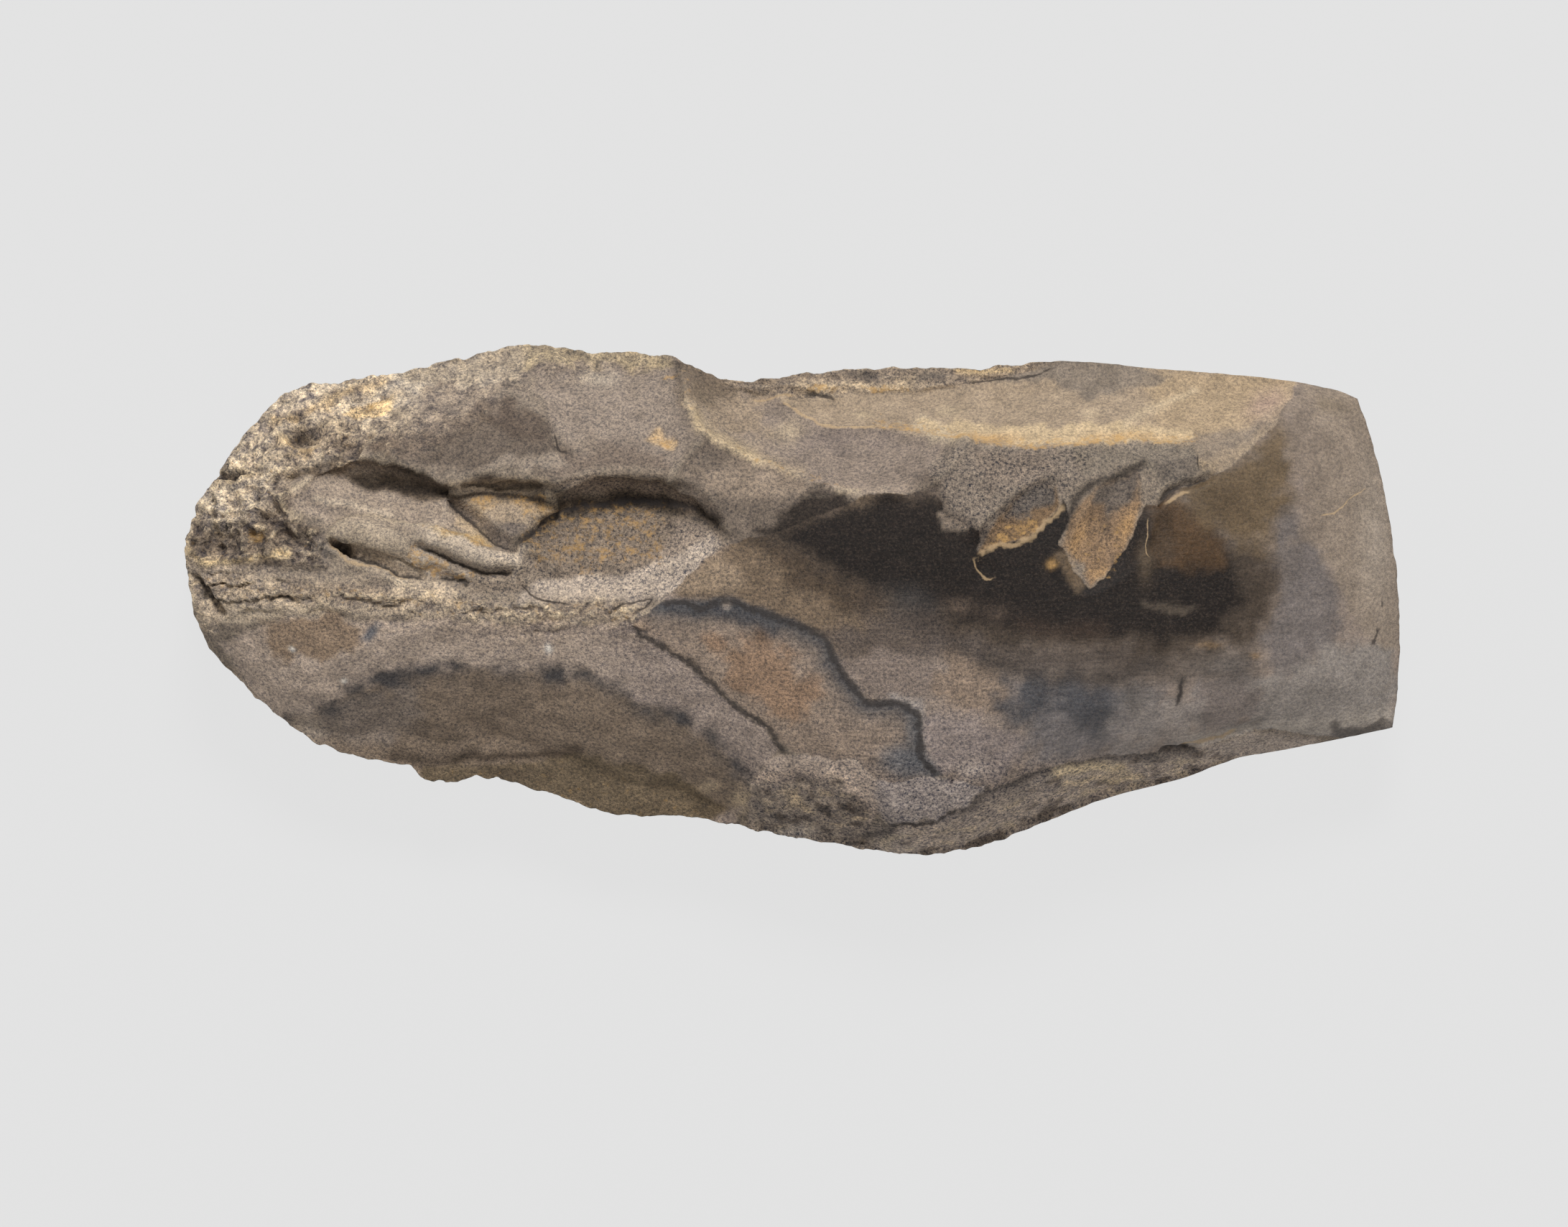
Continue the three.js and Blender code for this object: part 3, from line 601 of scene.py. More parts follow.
# Wide and long scars of the upper long side.
WIDE_SCAR = WIDE_SCAR_RIM + [(14, 18.4), (10, 19.6), (4, 19.8), (0, 21.5), (-1.5, 22.8), (-5, 27)]
LONG_SCAR = SCAR_CREST + LONG_SCAR_RIM[1:] + [(51.5, 16.5), (55, 19.8), (58, 24.3), (60, 28), (-6, 29)]
paint(scars, [
    # Shoulder below the wide scar.
    ("#6c6157", patch([(-12, 17.5), (-10.5, 18.6), (-5, 15.4), (3, 13), (8, 11), (5, 6), (-7, 5),
        (-9, 8), (-14, 13.5)], 0.8, 0.8)),
    ("#8d7e6f", patch([(-13, 14.5), (-6, 15.8), (0, 13.8), (2, 12.3), (-1, 11.6), (-6, 11.4)],
        1.2, 1.5)),
    ("#2f2925", patch([(2, 12.8), (8, 11.4), (14, 12), (12, 6), (0, 6), (-4, 8)], 1.2, 1.2)),
    # Wide scar, cream along its left rim.
    ("#85786d", patch(WIDE_SCAR, 0.3)),
    ("#7c7068", 0.9 * patch([(-1, 19), (2, 17.4), (6, 17), (11, 17.6), (11, 19), (4, 19.5)], 1.2, 1.5)),
    ("#928270", patch([(-12, 25), (-9, 19.5), (-3, 19), (-3, 25)], 1.5, 2)),
    ("#6d6052", 0.85 * patch([(-14, 28), (-13.3, 23), (-10.5, 22.6), (-5, 23.6), (-4.5, 26.5),
        (-9, 28)], 0.9, 1)),
    ("#665b51", 0.6 * band(WIDE_SCAR_RIM[:4], 0.1, 1.6)),
    ("#b3a083", 0.95 * band(WIDE_SCAR_RIM[1:4], 1.7, 0.2) + 0.5 * band(WIDE_SCAR_RIM[3:5], 1.2, 0.2)),
    ("#a09080", 0.6 * band(WIDE_SCAR_RIM[5:-1], 1.2, 0.2)),
    ("#b9a78d", 0.7 * spot((-0.8, 19.4), 1.6, 1.2, 30) + 0.6 * stroke([(5, 12.6), (7.5, 12.2)], 0.25)),
    # Long scar: buff, grey by the upper rim and cream above its own rim.
    ("#9a8975", patch(LONG_SCAR, 0.3)),
    ("#a38f75", patch([(40, 26), (42, 18), (47, 15), (58.5, 24.5), (57, 27)], 1.2, 1)),
    ("#756c63", 0.75 * patch([(24, 26), (23, 25), (29, 25.3), (34, 23.7), (39, 24.2), (43, 25.5),
        (38, 28), (30, 29.5)], 0.6, 0.8)),
    ("#84786c", 0.8 * patch([(42.5, 18.3), (47.4, 15.8), (53, 18.3), (54.5, 20.5), (48, 19),
        (44, 18.9)], 0.9, 1)),
    ("#c2b196", 0.6 * patch([(12, 20.4), (17, 17.5), (20, 17.6), (21, 19.2), (16, 21)], 0.7, 1)),
    ("#b8a384", patch([(13, 20.5), (20, 18.2), (27, 17.5), (45, 17.9), (46, 19.5), (38, 20.3),
        (28, 19.8), (20, 20.5)], 0.5, 0.8)),
    ("#c3a072", 0.7 * spot((22.5, 18.6), 3.2, 0.5) + 0.5 * spot((38.5, 18.6), 5.5, 0.5)),
    ("#bba88c", 0.7 * stroke([(38, 19.8), (40, 21.2), (43, 22.6), (46, 23.8)], 0.5)
        + 0.6 * spot((8, 21.3), 1, 0.5) + 0.6 * spot((18, 21.6), 1.3, 0.5)
        + 0.6 * spot((34, 21.5), 1, 0.5)),
    ("#a38c7c", spot((54.5, 22.5), 2.5, 1.3, 30)),
    # Grey facet between the long scar and the dark heart.
    ("#7f7469", patch([(15, 14), (17, 17), (20.3, 17.6), (34, 17.2), (32, 13), (29, 11), (20, 6)],
        0.8, 1)),
    ("#3e3631", 0.8 * band([(16, 13), (17.5, 9.5), (22, 7.5)], 1, 2.5)),
    ("#83766a", 0.7 * patch([(21, 16.5), (30, 16.5), (28, 13.5), (22, 12.5)], 1, 1.5))])

# The crushed upper rim.
paint(scars, [
    ("#8e8071", crushed),
    ("#cdb99c", 0.6 * spot((3, 24.5), 2.8, 0.7) + 0.7 * spot((9.5, 24.6), 3.6, 0.4)
        + 0.5 * spot((13, 25.2), 1.5, 0.6)),
    ("#6f665d", spot((8, 25.9), 2.2, 0.7) + spot((16, 25.8), 2, 0.6)),
    ("#c4ac86", 0.8 * stroke([(19, 26.5), (25, 26.6)], 0.4))])

# Stepped hollows of the butt half.
DEEP_STEP = STEP_RIM[12:] + [(-8, 6), (-13, 1.8), (-15, 0), (-26, 1.5), (-38, 0.5), (-34, 5.5),
    (-31, 7)]
SMALL_STEP = [
    (-40, 13.5), (-36, 14), (-32, 14.3), (-28, 13.5), (-25, 10.5), (-30, 8.2), (-33.4, 6.1), (-37, 9.3),
    (-40.3, 12)]
BUTT_STEP = [
    (-58.5, 10.5), (-57, 13), (-55, 15.3), (-50, 15.9), (-44, 15.6), (-40, 13.6), (-36, 8.5),
    (-41, 7.5), (-52, 8)]
paint(scars, [
    # Deep step: brown floor, painted light on its lower slope, which faces the lamp, and painted shadow
    # at its foot.
    ("#7f7265", patch(DEEP_STEP, 0.3, 0.2)),
    ("#948679", 0.9 * patch([(-13.5, 9.3), (-10, 8), (-8.6, 6), (-13, 2), (-17, 3), (-14.5, 6.5)],
        0.8, 0.6)),
    ("#b0a294", patch([(-30, 2.1), (-25, 2.6), (-19, 3.2), (-14, 4.6), (-9.5, 7.6), (-8.4, 6.4),
        (-11.5, 2.6), (-15, 0), (-26, -0.3), (-32, -0.5)], 0.5, 0.4)),
    ("#2c2722", 0.9 * band(DEEP_BASE, 0.8, 1.3)),
    # Painted light on the upper part of its wall.
    ("#a39283", 0.8 * stroke([(-26, 12.6), (-20, 13.1), (-15, 12.5), (-12, 10.6)], 0.8)),
    # Small step, then the butt step.
    ("#9d8c78", patch(SMALL_STEP, 0.3, 0.2)),
    ("#7a6f66", patch([(-36.5, 8.8), (-30, 8.5), (-33.4, 6)], 0.4, 0.4)),
    ("#a28a6b", 0.6 * patch([(-37, 10.4), (-29, 10.2), (-28, 11.2), (-37, 11.6)], 0.4, 0.8)),
    ("#9c8d7e", patch(BUTT_STEP, 0.4, 0.3)),
    ("#84776c", 0.8 * patch([(-57, 12), (-54, 9.5), (-49, 9), (-51, 10.3), (-56, 12.8)], 0.5, 0.5)),
    ("#bbab97", 0.9 * stroke([(-55, 11.5), (-50, 10.4), (-46, 9.2)], 0.45)),
    # Painted shade on the feet and walls of both, and painted highlights on the lit edges beside them.
    ("#5c5148", 0.8 * band(SMALL_BASE, 0.45, 0.35)),
    ("#3b332c", 0.95 * stroke([(-39, 12.2), (-34, 12), (-30, 11.7), (-26.5, 11.2)], 0.7)
        + 0.9 * band(BUTT_BASE[2:], 1.2, 0.5)),
    ("#b7a183", 0.8 * patch([(-38.8, 10.4), (-35.6, 8), (-34, 6.3), (-36.4, 6.3), (-38.8, 8.5)],
        0.3, 0.6)),
    ("#2e2823", 0.85 * spot((-28, 12.6), 2.6, 0.8, -10) + 0.85 * spot((-44, 14.8), 3.4, 0.8, -22)),
    ("#b9a88f", 0.7 * stroke(LUMP_EDGE, 0.3) + 0.6 * stroke(SKIN_LEDGE, 0.4))])

# Lumps, and the crumbled seam below the steps.
paint(scars, [
    # The two lumps, and the low ridges beside them.
    ("#a39482", stroke(LUMP, 2) + 0.8 * stroke([(-52, 4.4), (-46, 4), (-41, 3)], 1.2)),
    ("#b5a695", stroke(SECOND_LUMP, 1.6)),
    ("#a3978a", 0.8 * patch([(-43.3, 5.6), (-41, 5), (-38, 3.4), (-36.3, 2.2), (-39, 2), (-42, 2.8)],
        0.4, 0.8)),
    ("#b8a07a", 0.8 * patch([(-42, 7.8), (-36, 7.2), (-34, 5.8), (-40, 6.6)], 0.4, 0.5)),
    # The seam, pale where it is raised, and two pale ledges by the butt.
    ("#b3a492", 0.9 * seam),
    ("#b9aa97", 0.8 * spot((-62, -8), 3.5, 1.2, -38) + 0.6 * spot((-57.5, -12), 2, 1, -38)),
    ("#c6b59f", 0.8 * patch([(-46, 2), (-46, 2.5), (-40, 1.6), (-38, -0.6), (-44, -1.2), (-50, 0)],
        0.7, 0.8) + 0.9 * patch([(-38, -1.6), (-32, -1.4), (-26, -1.4), (-25, -2.8), (-30, -3.8),
        (-37, -3)], 0.7, 1) + 0.7 * patch([(-69.5, 0), (-60, 0.6), (-54, 0), (-53, -2), (-62, -3),
        (-69, -3)], 1, 1.2)),
    ("#85786c", 0.6 * patch([(-58, 2.2), (-46, 1.8), (-46, 0.2), (-58, 0.2)], 0.5, 0.8)),
    ("#75695e", 0.5 * patch([(-30, -0.6), (-19, -0.6), (-18, -2.4), (-24, -3.2), (-31, -2.6)],
        0.6, 0.6)),
    # Ledges and pits at the butt end of the seam.
    ("#776c61", 0.85 * patch([(-69.5, 9), (-60, 9.4), (-57, 8.6), (-55, 6.5), (-60, 5.4), (-69, 5.6)],
        0.5, 0.8)),
    # Painted highlights on the lit tops of the lump and the ledge at the butt.
    ("#f2e4cf", 0.95 * spot((-66.6, 10.6), 2.6, 1.6, -5) + 0.6 * spot((-61.5, 12.6), 1.4, 3.5, -30)),
    ("#433a31", 0.9 * spot((-64.6, 14.5), 1.8, 0.5, 5))])

# The great scar: a pale margin, then a dark blue-grey band, and speckled brown inside it.
GREAT_SCAR = [
    (-66, -5), (-58, -1.8), (-50, -2.4), (-30, -2.6), (-18, -3), (-12.5, -7.2), (-6.5, -12.5),
    (-1.6, -17), (-5, -21), (-7, -27), (-55, -24)]
BLUE_BAND = [
    (-58.5, -13.6), (-54, -12.2), (-50, -9.8), (-46, -8.8), (-40, -7.6), (-30, -8), (-22, -9.5),
    (-18, -11.5), (-14, -13), (-11, -15), (-8, -17), (-5.5, -20), (-5, -22)]
paint(scars, [
    # The margin, greyer towards the middle, with one brown stain.
    ("#b2a192", patch(GREAT_SCAR, 0.6, 0.4)),
    ("#978980", 0.8 * fade(-26, -16, x) * patch(GREAT_SCAR, 0.6, 0.4)),
    ("#8a7662", 0.9 * patch([(-62, -2.2), (-53, -1.8), (-49.5, -3), (-50, -5), (-54, -7.3),
        (-60, -6.5)], 0.9, 1.2)),
    # Inside the band.
    ("#887868", patch(BLUE_BAND + [(-14, -30), (-40, -30), (-66, -22)], 1.0, 0.8)),
    ("#8c8178", 0.6 * patch([(-56, -13.5), (-50, -11), (-43, -9.5), (-43, -15), (-50, -17), (-55, -16)],
        1.5, 1.5)),
    ("#4a4849", np.clip(band(BLUE_BAND, 0.8, 1.6) * (0.6 + 0.9 * layered(places, 5.0, 62)
        + 0.8 * fine_mottle), 0, 0.95)),
    # Lower lip, olive, with painted shade along and under its edge, and pale marks.
    ("#6b5d47", 0.7 * patch([(-43, -19.2), (-39, -19.3), (-30, -18.8), (-24, -18), (-14, -20),
        (-8, -24), (-12, -30), (-44, -28)], 0.5, 0.5)),
    ("#4c4036", 0.6 * stroke([(-39, -18.6), (-35, -18.5), (-30, -18), (-25, -17.4)], 0.6)),
    ("#b9a68c", 0.8 * spot((-6, -23), 1.6, 1.3, 30) + 0.7 * spot((-10, -21.6), 1.2, 0.7)),
    ("#b0a293", 0.9 * spot((-56, -14.8), 1.8, 1.4, -30)),
    ("#4f443a", 0.7 * stroke([(-46, -18), (-42, -18.6), (-37, -18)], 0.9)
        + 0.6 * spot((-33, -20.2), 2.5, 0.8)),
    # A blue chip, and three flecks of lint-white scale.
    ("#62656b", 0.9 * spot((-48.6, -3.7), 1.4, 0.6, 40, 4)),
    ("#e0dad0", spot((-51.8, -9.2), 0.35, 0.3) + spot((-57.7, -5.7), 0.3, 0.25)
        + spot((-28.3, -5.5), 0.4, 0.5))])

# Flank of the lower long side, with the scallop beside the great scar.
flank = patch([(8, -27), (20, -25.4), (28, -20.8), (36, -19), (50, -17.2), (50, -20), (20, -31),
    (6, -30)], 0.5, 1)
scallop = patch([(-4, -22), (0, -21), (5, -21.4), (8, -23), (9, -25.5), (6, -27), (-4, -26.5)],
    0.5, 0.9)
paint(scars, [
    # The flank, with a dark line below its edge, then its dark and cream mottling.
    ("#aea094", patch([(10, -25.8), (17, -25.2), (22.5, -22), (28, -19.8), (36, -18), (46, -17.3),
        (52, -15.6), (60, -16), (60, -20), (20, -32), (-6, -30), (-5, -24), (5, -26)], 0.8, 0.6)),
    ("#4d4744", 0.85 * band([(19.5, -24.4), (19, -24.3), (22.5, -22), (28, -19.8), (36, -18),
        (46, -17.3)], 0.5, 1.1)),
    ("#5b5149", 0.75 * flank * fade(0.05, 0.5, fine_mottle)),
    ("#c2b096", 0.6 * flank * fade(0.15, 0.6, -fine_mottle)),
    ("#dcc6a2", 0.8 * stroke([(30, -19.9), (34, -19.3), (37.5, -19.6)], 0.55)
        + 0.6 * stroke([(31, -21.2), (40, -20.6)], 0.4)),
    # Pinkish ledges beside the scallop.
    ("#bfb4ae", 0.9 * patch([(11, -25.6), (13, -23), (19, -22.6), (20.5, -20), (22.5, -20.6),
        (20, -23.6), (17, -25), (13, -26)], 0.7, 1)),
    ("#3c3836", 0.8 * stroke([(3.5, -27.6), (7, -27.4), (11, -26.6)], 0.9)),
    # The scallop: a pinkish band round a mottled middle.
    ("#b8a799", patch([(-5, -21), (-2, -18), (4, -17.4), (8, -19), (10.5, -21), (9, -25.5), (3, -29),
        (-5, -27)], 0.3, 0.2)),
    ("#968a7f", patch([(-5, -21.3), (0, -20.5), (5, -21), (8, -23), (9.5, -26), (5, -29), (-5, -28)],
        0.5, 0.9)),
    ("#514842", 0.8 * scallop * fade(0.0, 0.45, fine_mottle) + 0.6 * spot((7.5, -24), 1.3, 1.8, 30)),
    ("#c6b296", 0.7 * scallop * fade(0.15, 0.6, -fine_mottle)),
    ("#d2c6b9", 0.9 * spot((0, -26.8), 2.2, 0.7)),
    # Tongue of grey stone right of the scallop.
    ("#a0958f", patch([(9.5, -20.5), (12, -19.8), (17, -20.5), (22.5, -20.5), (20, -23.5), (16, -25),
        (10.5, -25.3), (9, -23)], 0.8, 0.5)),
    ("#2f2328", spot((18.1, -20.8), 0.35, 0.7, 20))])

# Slate, chips and the crack beside the bit.
paint(scars, [
    # Slate along the foot of the long scar.
    ("#7b7165", patch([(31.5, 17.4), (45.6, 17.5), (46.6, 14.8), (44, 14), (38, 15.5), (33, 14)],
        0.4, 0.6)),
    ("#6c635a", patch([(41, 16), (46, 16), (46, 13.6), (42, 13)], 0.4, 0.4)),
    # Tongue chip, with painted shade inside it under its upper rim and a painted shadow along that rim.
    ("#8a725a", patch([(30.8, 6), (31.5, 9.5), (33.5, 12), (36, 13.5), (39.3, 14.8), (39.9, 11),
        (38.3, 7), (37, 4.5), (35.3, 2.7), (33.8, 1.4), (33.2, 4)], 0.4, 0.4)),
    ("#625b55", 0.9 * patch([(34, 11.5), (36, 13.3), (39.3, 14.8), (39.5, 11.5), (37.5, 10.8),
        (36, 9.5)], 0.6, 0.8)),
    ("#35302c", 0.9 * stroke([(31, 8.5), (33, 12.6), (36, 13.8), (38.5, 15), (40, 15.6)], 0.55)),
    ("#5f5349", 0.6 * spot((35.6, 8.3), 0.6, 1.8, -20) + 0.5 * spot((36.4, 4.6), 0.6, 0.8)),
    ("#b08d63", 0.7 * spot((32.4, 7), 0.7, 2, -15) + 0.8 * spot((38.2, 8.6), 0.7, 2, -20)
        + 0.6 * spot((35, 3), 1, 0.7)),
    # Leaf chip.
    ("#725d47", patch([(20.8, 5.3), (23.5, 6.2), (26.5, 6.6), (28.5, 8.5), (30.5, 11), (30, 13),
        (26, 12.2), (22.5, 8.5)], 0.3)),
    ("#615a54", patch([(23.5, 9.5), (27, 12.8), (30.5, 13), (29.5, 10.9), (27, 9.3)], 0.5, 0.7))])

# Ground stone: brown by the middle and grey along the lower side.
ground_tone = np.tile(linear("#8a7c71"), (len(x), 1))
paint(ground_tone, [
    # Underside.
    ("#857464", below),
    ("#6f6357", below * fade(0.1, 0.7, mottle)),
    # Brown ground beside the heart, then the tan strip between the two veins.
    ("#70604f", patch([(-14, 0.5), (-8, 6), (-9, 9), (-2, 12), (11, 13), (20, 8), (20, -3), (8, -8),
        (0, -3.5), (-6, -1.2)], 1, 0.5)),
    ("#8f7d69", 0.9 * patch([(-13.5, 1.6), (-9, 5.6), (-6.5, 4), (-5.5, 1.4), (-8, 0.8)], 1, 0.8)),
    ("#4d4033", patch([(-6, 8), (-4, 5.4), (-1, 3), (2, 0.6), (6, -1), (11, -1.4), (14, 2), (6, 8)],
        1.5, 1)),
    ("#8a7a6c", patch([(-18.5, -2.6), (-12, -0.6), (-8, 0), (0, -3), (3.5, -5), (7, -10.5), (12, -12.2),
        (14.5, -15), (15, -20), (5, -18), (-0.5, -17.6), (-9.5, -9.8)], 0.4, 0.2)),
    ("#886f5a", 0.9 * patch([(-9, -4.5), (-4, -5), (1, -7.5), (3, -11), (1, -13.5), (-4, -12.5),
        (-8, -9)], 1.5, 2)),
    # Dark fringe below the heart, and paler ground below it.
    ("#554c47", 0.8 * patch([(3, -3.5), (12, -1), (24, -3), (27, -6), (16, -7), (9, -8), (5, -6.5)],
        1.8, 1.5)),
    ("#7d7067", 0.9 * patch([(5.5, -7), (9, -6), (15, -6.5), (18, -9), (14, -12), (8.5, -10.5)], 1, 1)),
    ("#867566", patch([(17, -7), (22, -6), (26, -8), (25, -12.5), (20, -13.5), (16.5, -10.5)],
        1.5, 2.5)),
    ("#897d77", patch([(14, -14), (20, -13), (26, -16), (24, -21), (16, -20)], 1.5, 1.5)),
    # Blue-grey clouds.
    ("#636469", 0.6 * patch([(24, -9), (36, -10), (43, -10), (42, -16), (33, -18), (28, -18.5)],
        2, 1.5)),
    ("#3e4045", 0.8 * patch([(24, -9.5), (29, -8), (36, -9), (39, -11.5), (35, -15.5), (32, -14.5),
        (29.5, -11.5), (27, -13.5), (24, -14.5)], 2.2, 2.2)),
    # Brown ground between the clouds and the heart, and by the bit.
    ("#524942", 0.7 * patch([(28, -5), (52, -5), (54, -8), (46, -10), (34, -9)], 1.8, 2.0)),
    ("#766d68", 0.8 * patch([(46, -9), (53, -9), (54, -14), (47, -15), (44, -13)], 1, 1.5))])

# The dark heart, and the olive border between it and the bit.
HEART = [
    (-6, 8.5), (-3, 6.2), (1, 3.8), (5, 1.8), (9, -0.4), (13, -2.2), (18, -4.4), (24, -6.3), (29, -7),
    (37, -7), (45, -6.5), (51, -5.5), (55, -3.5), (57, 2), (54, 6), (47, 10.5), (42, 13), (36, 16),
    (30, 14), (17, 13), (8, 12), (2, 11)]
paint(ground_tone, [
    # Border of the heart with its streaks, then the heart itself.
    ("#433930", patch(HEART, 3, 1.5)),
    ("#4d443e", 0.75 * stroke([(11, -1.7), (15, -3.4), (19, -5.4), (25, -6.8), (33, -6.8), (38, -6)],
        1.2)),
    ("#3d3733", 0.75 * stroke([(22, -7), (26, -8.2), (31, -8.8), (37, -8.8), (41, -7.6)], 1.2)),
    ("#1a1411", patch([(-1, 7.6), (3, 5), (6, 3), (9, 1.4), (13, 0), (19, -2), (26, -3.8), (34, -4.6),
        (42, -4.4), (49, -3.8), (51.5, 0), (50, 5), (43, 7), (38, 12), (20, 12), (8, 11)], 1.5, 1)),
    # Brown glow and streaks inside it.
    ("#4e3a26", 0.9 * patch([(41, 12), (45, 11), (50, 7), (49, 4), (42, 4)], 1.5, 1.5)),
    ("#4a3a2f", 0.35 * stroke([(26, -3), (30, -3.6), (35, -3.4)], 1)),
    ("#454342", 0.6 * spot((13.5, -0.6), 3.2, 1.8, -25)),
    # Olive ground.
    ("#655541", patch([(44, 13), (47, 15), (52, 17), (56, 21.5), (57.6, 19), (57.6, 12), (56, 6),
        (51, 6), (47, 9)], 2.6, 1.5)),
    ("#4f402e", 0.6 * spot((50, 11), 3, 2.5, 20)),
    # Lavender and grey stone up to the bit, which is tan.
    ("#716965", patch([(54.5, 9), (57.5, 10.5), (60.5, 6), (63, 0), (62, -6), (56, -9), (53.5, -5),
        (56.5, 2)], 1.4, 1.2)),
    ("#888079", patch([(53, -9), (57, -8.5), (61, -5), (69.5, -5), (69.5, -15.5), (56, -17.3),
        (50, -15.5), (54, -12)], 1.4, 1.5)),
    ("#8b7d6f", patch([(58, 27), (59, 20), (58.6, 12), (60.7, 5), (63.5, 0), (66, -4), (70, -6),
        (72, 5), (68, 27)], 0.9, 0.7)),
    ("#756857", 0.7 * spot((61.5, 22.6), 2.8, 1.2, -10)),
    # Pale ground near the lower side and along the edge.
    ("#938a83", 0.7 * patch([(42, -11), (46, -10), (47, -14), (46, -18), (37, -18), (36, -14)], 1.5, 2)
        + 0.9 * patch([(11, -10.6), (14.6, -11.5), (14.8, -17.5), (12.8, -16.5), (12.6, -13.5)],
        0.6, 0.5)),
    ("#a89b8d", 0.6 * spot((67, 7), 2, 7)),
    ("#b0a599", 0.7 * stroke([(46, -16.6), (54, -15.6), (62, -14.4), (69, -13.4)], 1.1)),
    # Painted shade where the lower edge turns down at the corner of the bit.
    ("#4c4642", 0.7 * patch([(62, -14.6), (69, -13.8), (70, -16), (62, -16)], 0.4, 1.2)),
    # Small dark box beside the tongue chip.
    ("#443526", 0.9 * patch([(41, 10.5), (43.4, 10.5), (43.5, 4.6), (41, 4.6)], 0.4, 0.3)),
    # The blue vein, and the blue stone in its bend.
    ("#403e40", 0.9 * patch([(-16.5, -1.2), (-13, 0.2), (-7.8, 0.2), (-3, -1.2), (0, -2.6), (-2, -4),
        (-7, -3), (-12, -1.9)], 0.9, 0.5)),
    ("#444548", 0.9 * band([(-15.5, -0.5), (-7.8, -0.3), (-4, -1.4), (0, -2.9), (3.5, -4.8), (4.5, -7),
        (7, -10.5), (8.5, -11.8), (12, -12), (14.3, -14), (14.5, -18), (16.5, -20.2)], 0.4, 2.1)),
    ("#68686b", 0.9 * spot((12.7, -18.5), 3.2, 1.8, -10, 4)),
    # Small marks: a grain, a stain, two dents, and rubbed or rusty spots.
    ("#b5a595", 0.9 * spot((-7.8, -0.6), 0.5, 0.4)),
    ("#5b4736", 0.7 * spot((-4, -4.2), 1, 0.8)),
    ("#33302f", 0.8 * spot((50.5, -8), 1.2, 1.3) + 0.8 * stroke(BIT_DENT, 0.3)),
    ("#8b7c6b", 0.25 * patch([(40, -0.4), (46, -0.8), (45, -1.8), (41, -1.6)], 0.5, 0.6)),
    ("#5c4e3e", 0.8 * spot((40.3, 4.4), 0.9, 2.2)),
    ("#5f5247", 0.8 * patch([(-2, 10.9), (0, 9.7), (3, 9.6), (5, 10.2), (3, 11.8)], 1, 1)),
    ("#7d7063", 0.8 * patch([(16.5, 10), (18, 10), (20, 8.6), (19.5, 7.8), (17, 8)], 0.4, 0.6)),
    ("#6b5a47", 0.8 * patch([(30, 5), (31.2, 5.5), (33.2, 1.8), (32.4, 0.8), (31, 2)], 0.4, 0.5)),
    ("#8e7250", 0.5 * spot((47.5, -5.2), 1.6, 0.3) + 0.8 * spot((52.8, -6.3), 0.45, 0.4)),
    # Darker places at the bit, in the heart's border and in the clouds.
    ("#625a55", 0.7 * spot((57, 6), 1.8, 3.2) + 0.6 * spot((49.5, -8), 2.6, 1.4)),
    ("#403732", 0.7 * spot((15, -2.2), 2.6, 1.2, -20) + 0.6 * spot((8, -1), 1.5, 1.5)),
    ("#181310", 0.8 * spot((22, 3), 2.2, 1.2) + 0.6 * spot((13, 5), 5, 2.2)),
    ("#66574b", 0.6 * spot((18.8, -0.8), 1.8, 0.9) + 0.4 * spot((23, -1.5), 1.5, 1)),
    ("#3f3f42", 0.6 * spot((26, -13), 1.8, 2.2) + 0.6 * spot((33, -14), 2, 1.6)),
    ("#6c655f", 0.7 * spot((39, -12), 2, 2) + 0.5 * spot((49, -7.5), 4, 1.5)),
    # Greyer strip at the top of the bit, a pale spot, and an ochre dot.
    ("#7d7064", 0.85 * patch([(54, 24), (60, 24), (61.5, 14), (60, 7), (57.6, 6), (58, 12), (56.5, 19)],
        1.4, 1.8)),
    ("#b9aba1", 0.8 * spot((20.5, -19.6), 1.7, 1.2)),
    ("#c49b62", spot((29.3, 4.2), 0.5, 0.4))])

# Raised edges are painted pale, as rubbed wear and as painted highlight, and hollows get painted shade.
rough = np.clip(skin + seam + crushed, 0, 1)
paint(scars, [
    ("#d3c3aa", (0.12 + 0.5 * rough) * fade(0.03, 0.25, proud)),
    ("#4a4039", (0.25 + 0.2 * rough) * fade(0.03, 0.25, -proud))])


def lines_across(lines):
    """For thin drawn lines, each half a millimetre wide or less: the distance from the nearest
    one in shares of its half width, and 1 beside the line or 0 away from it and past its ends."""
    nearest = np.full(len(face), 9.0)
    share, beside = nearest.copy(), nearest * 0
    for half_width, line in lines:
        drawn = smooth_line(line)
        gap = gap_to(drawn)
        end_gap = np.minimum(*[np.hypot(face_x - px, face_y - py) for px, py in drawn[[0, -1]]])
        closer = np.abs(gap) < nearest
        nearest = np.where(closer, np.abs(gap), nearest)
        share = np.where(closer, gap / half_width, share)
        whole = fade(0.9, 0.6, nearest) * fade(0, 0.5, end_gap - np.abs(gap))
        beside = np.where(closer, whole, beside)
    values = np.zeros((len(x), 3))
    values[face, 0], values[face, 1] = share, beside
    return values


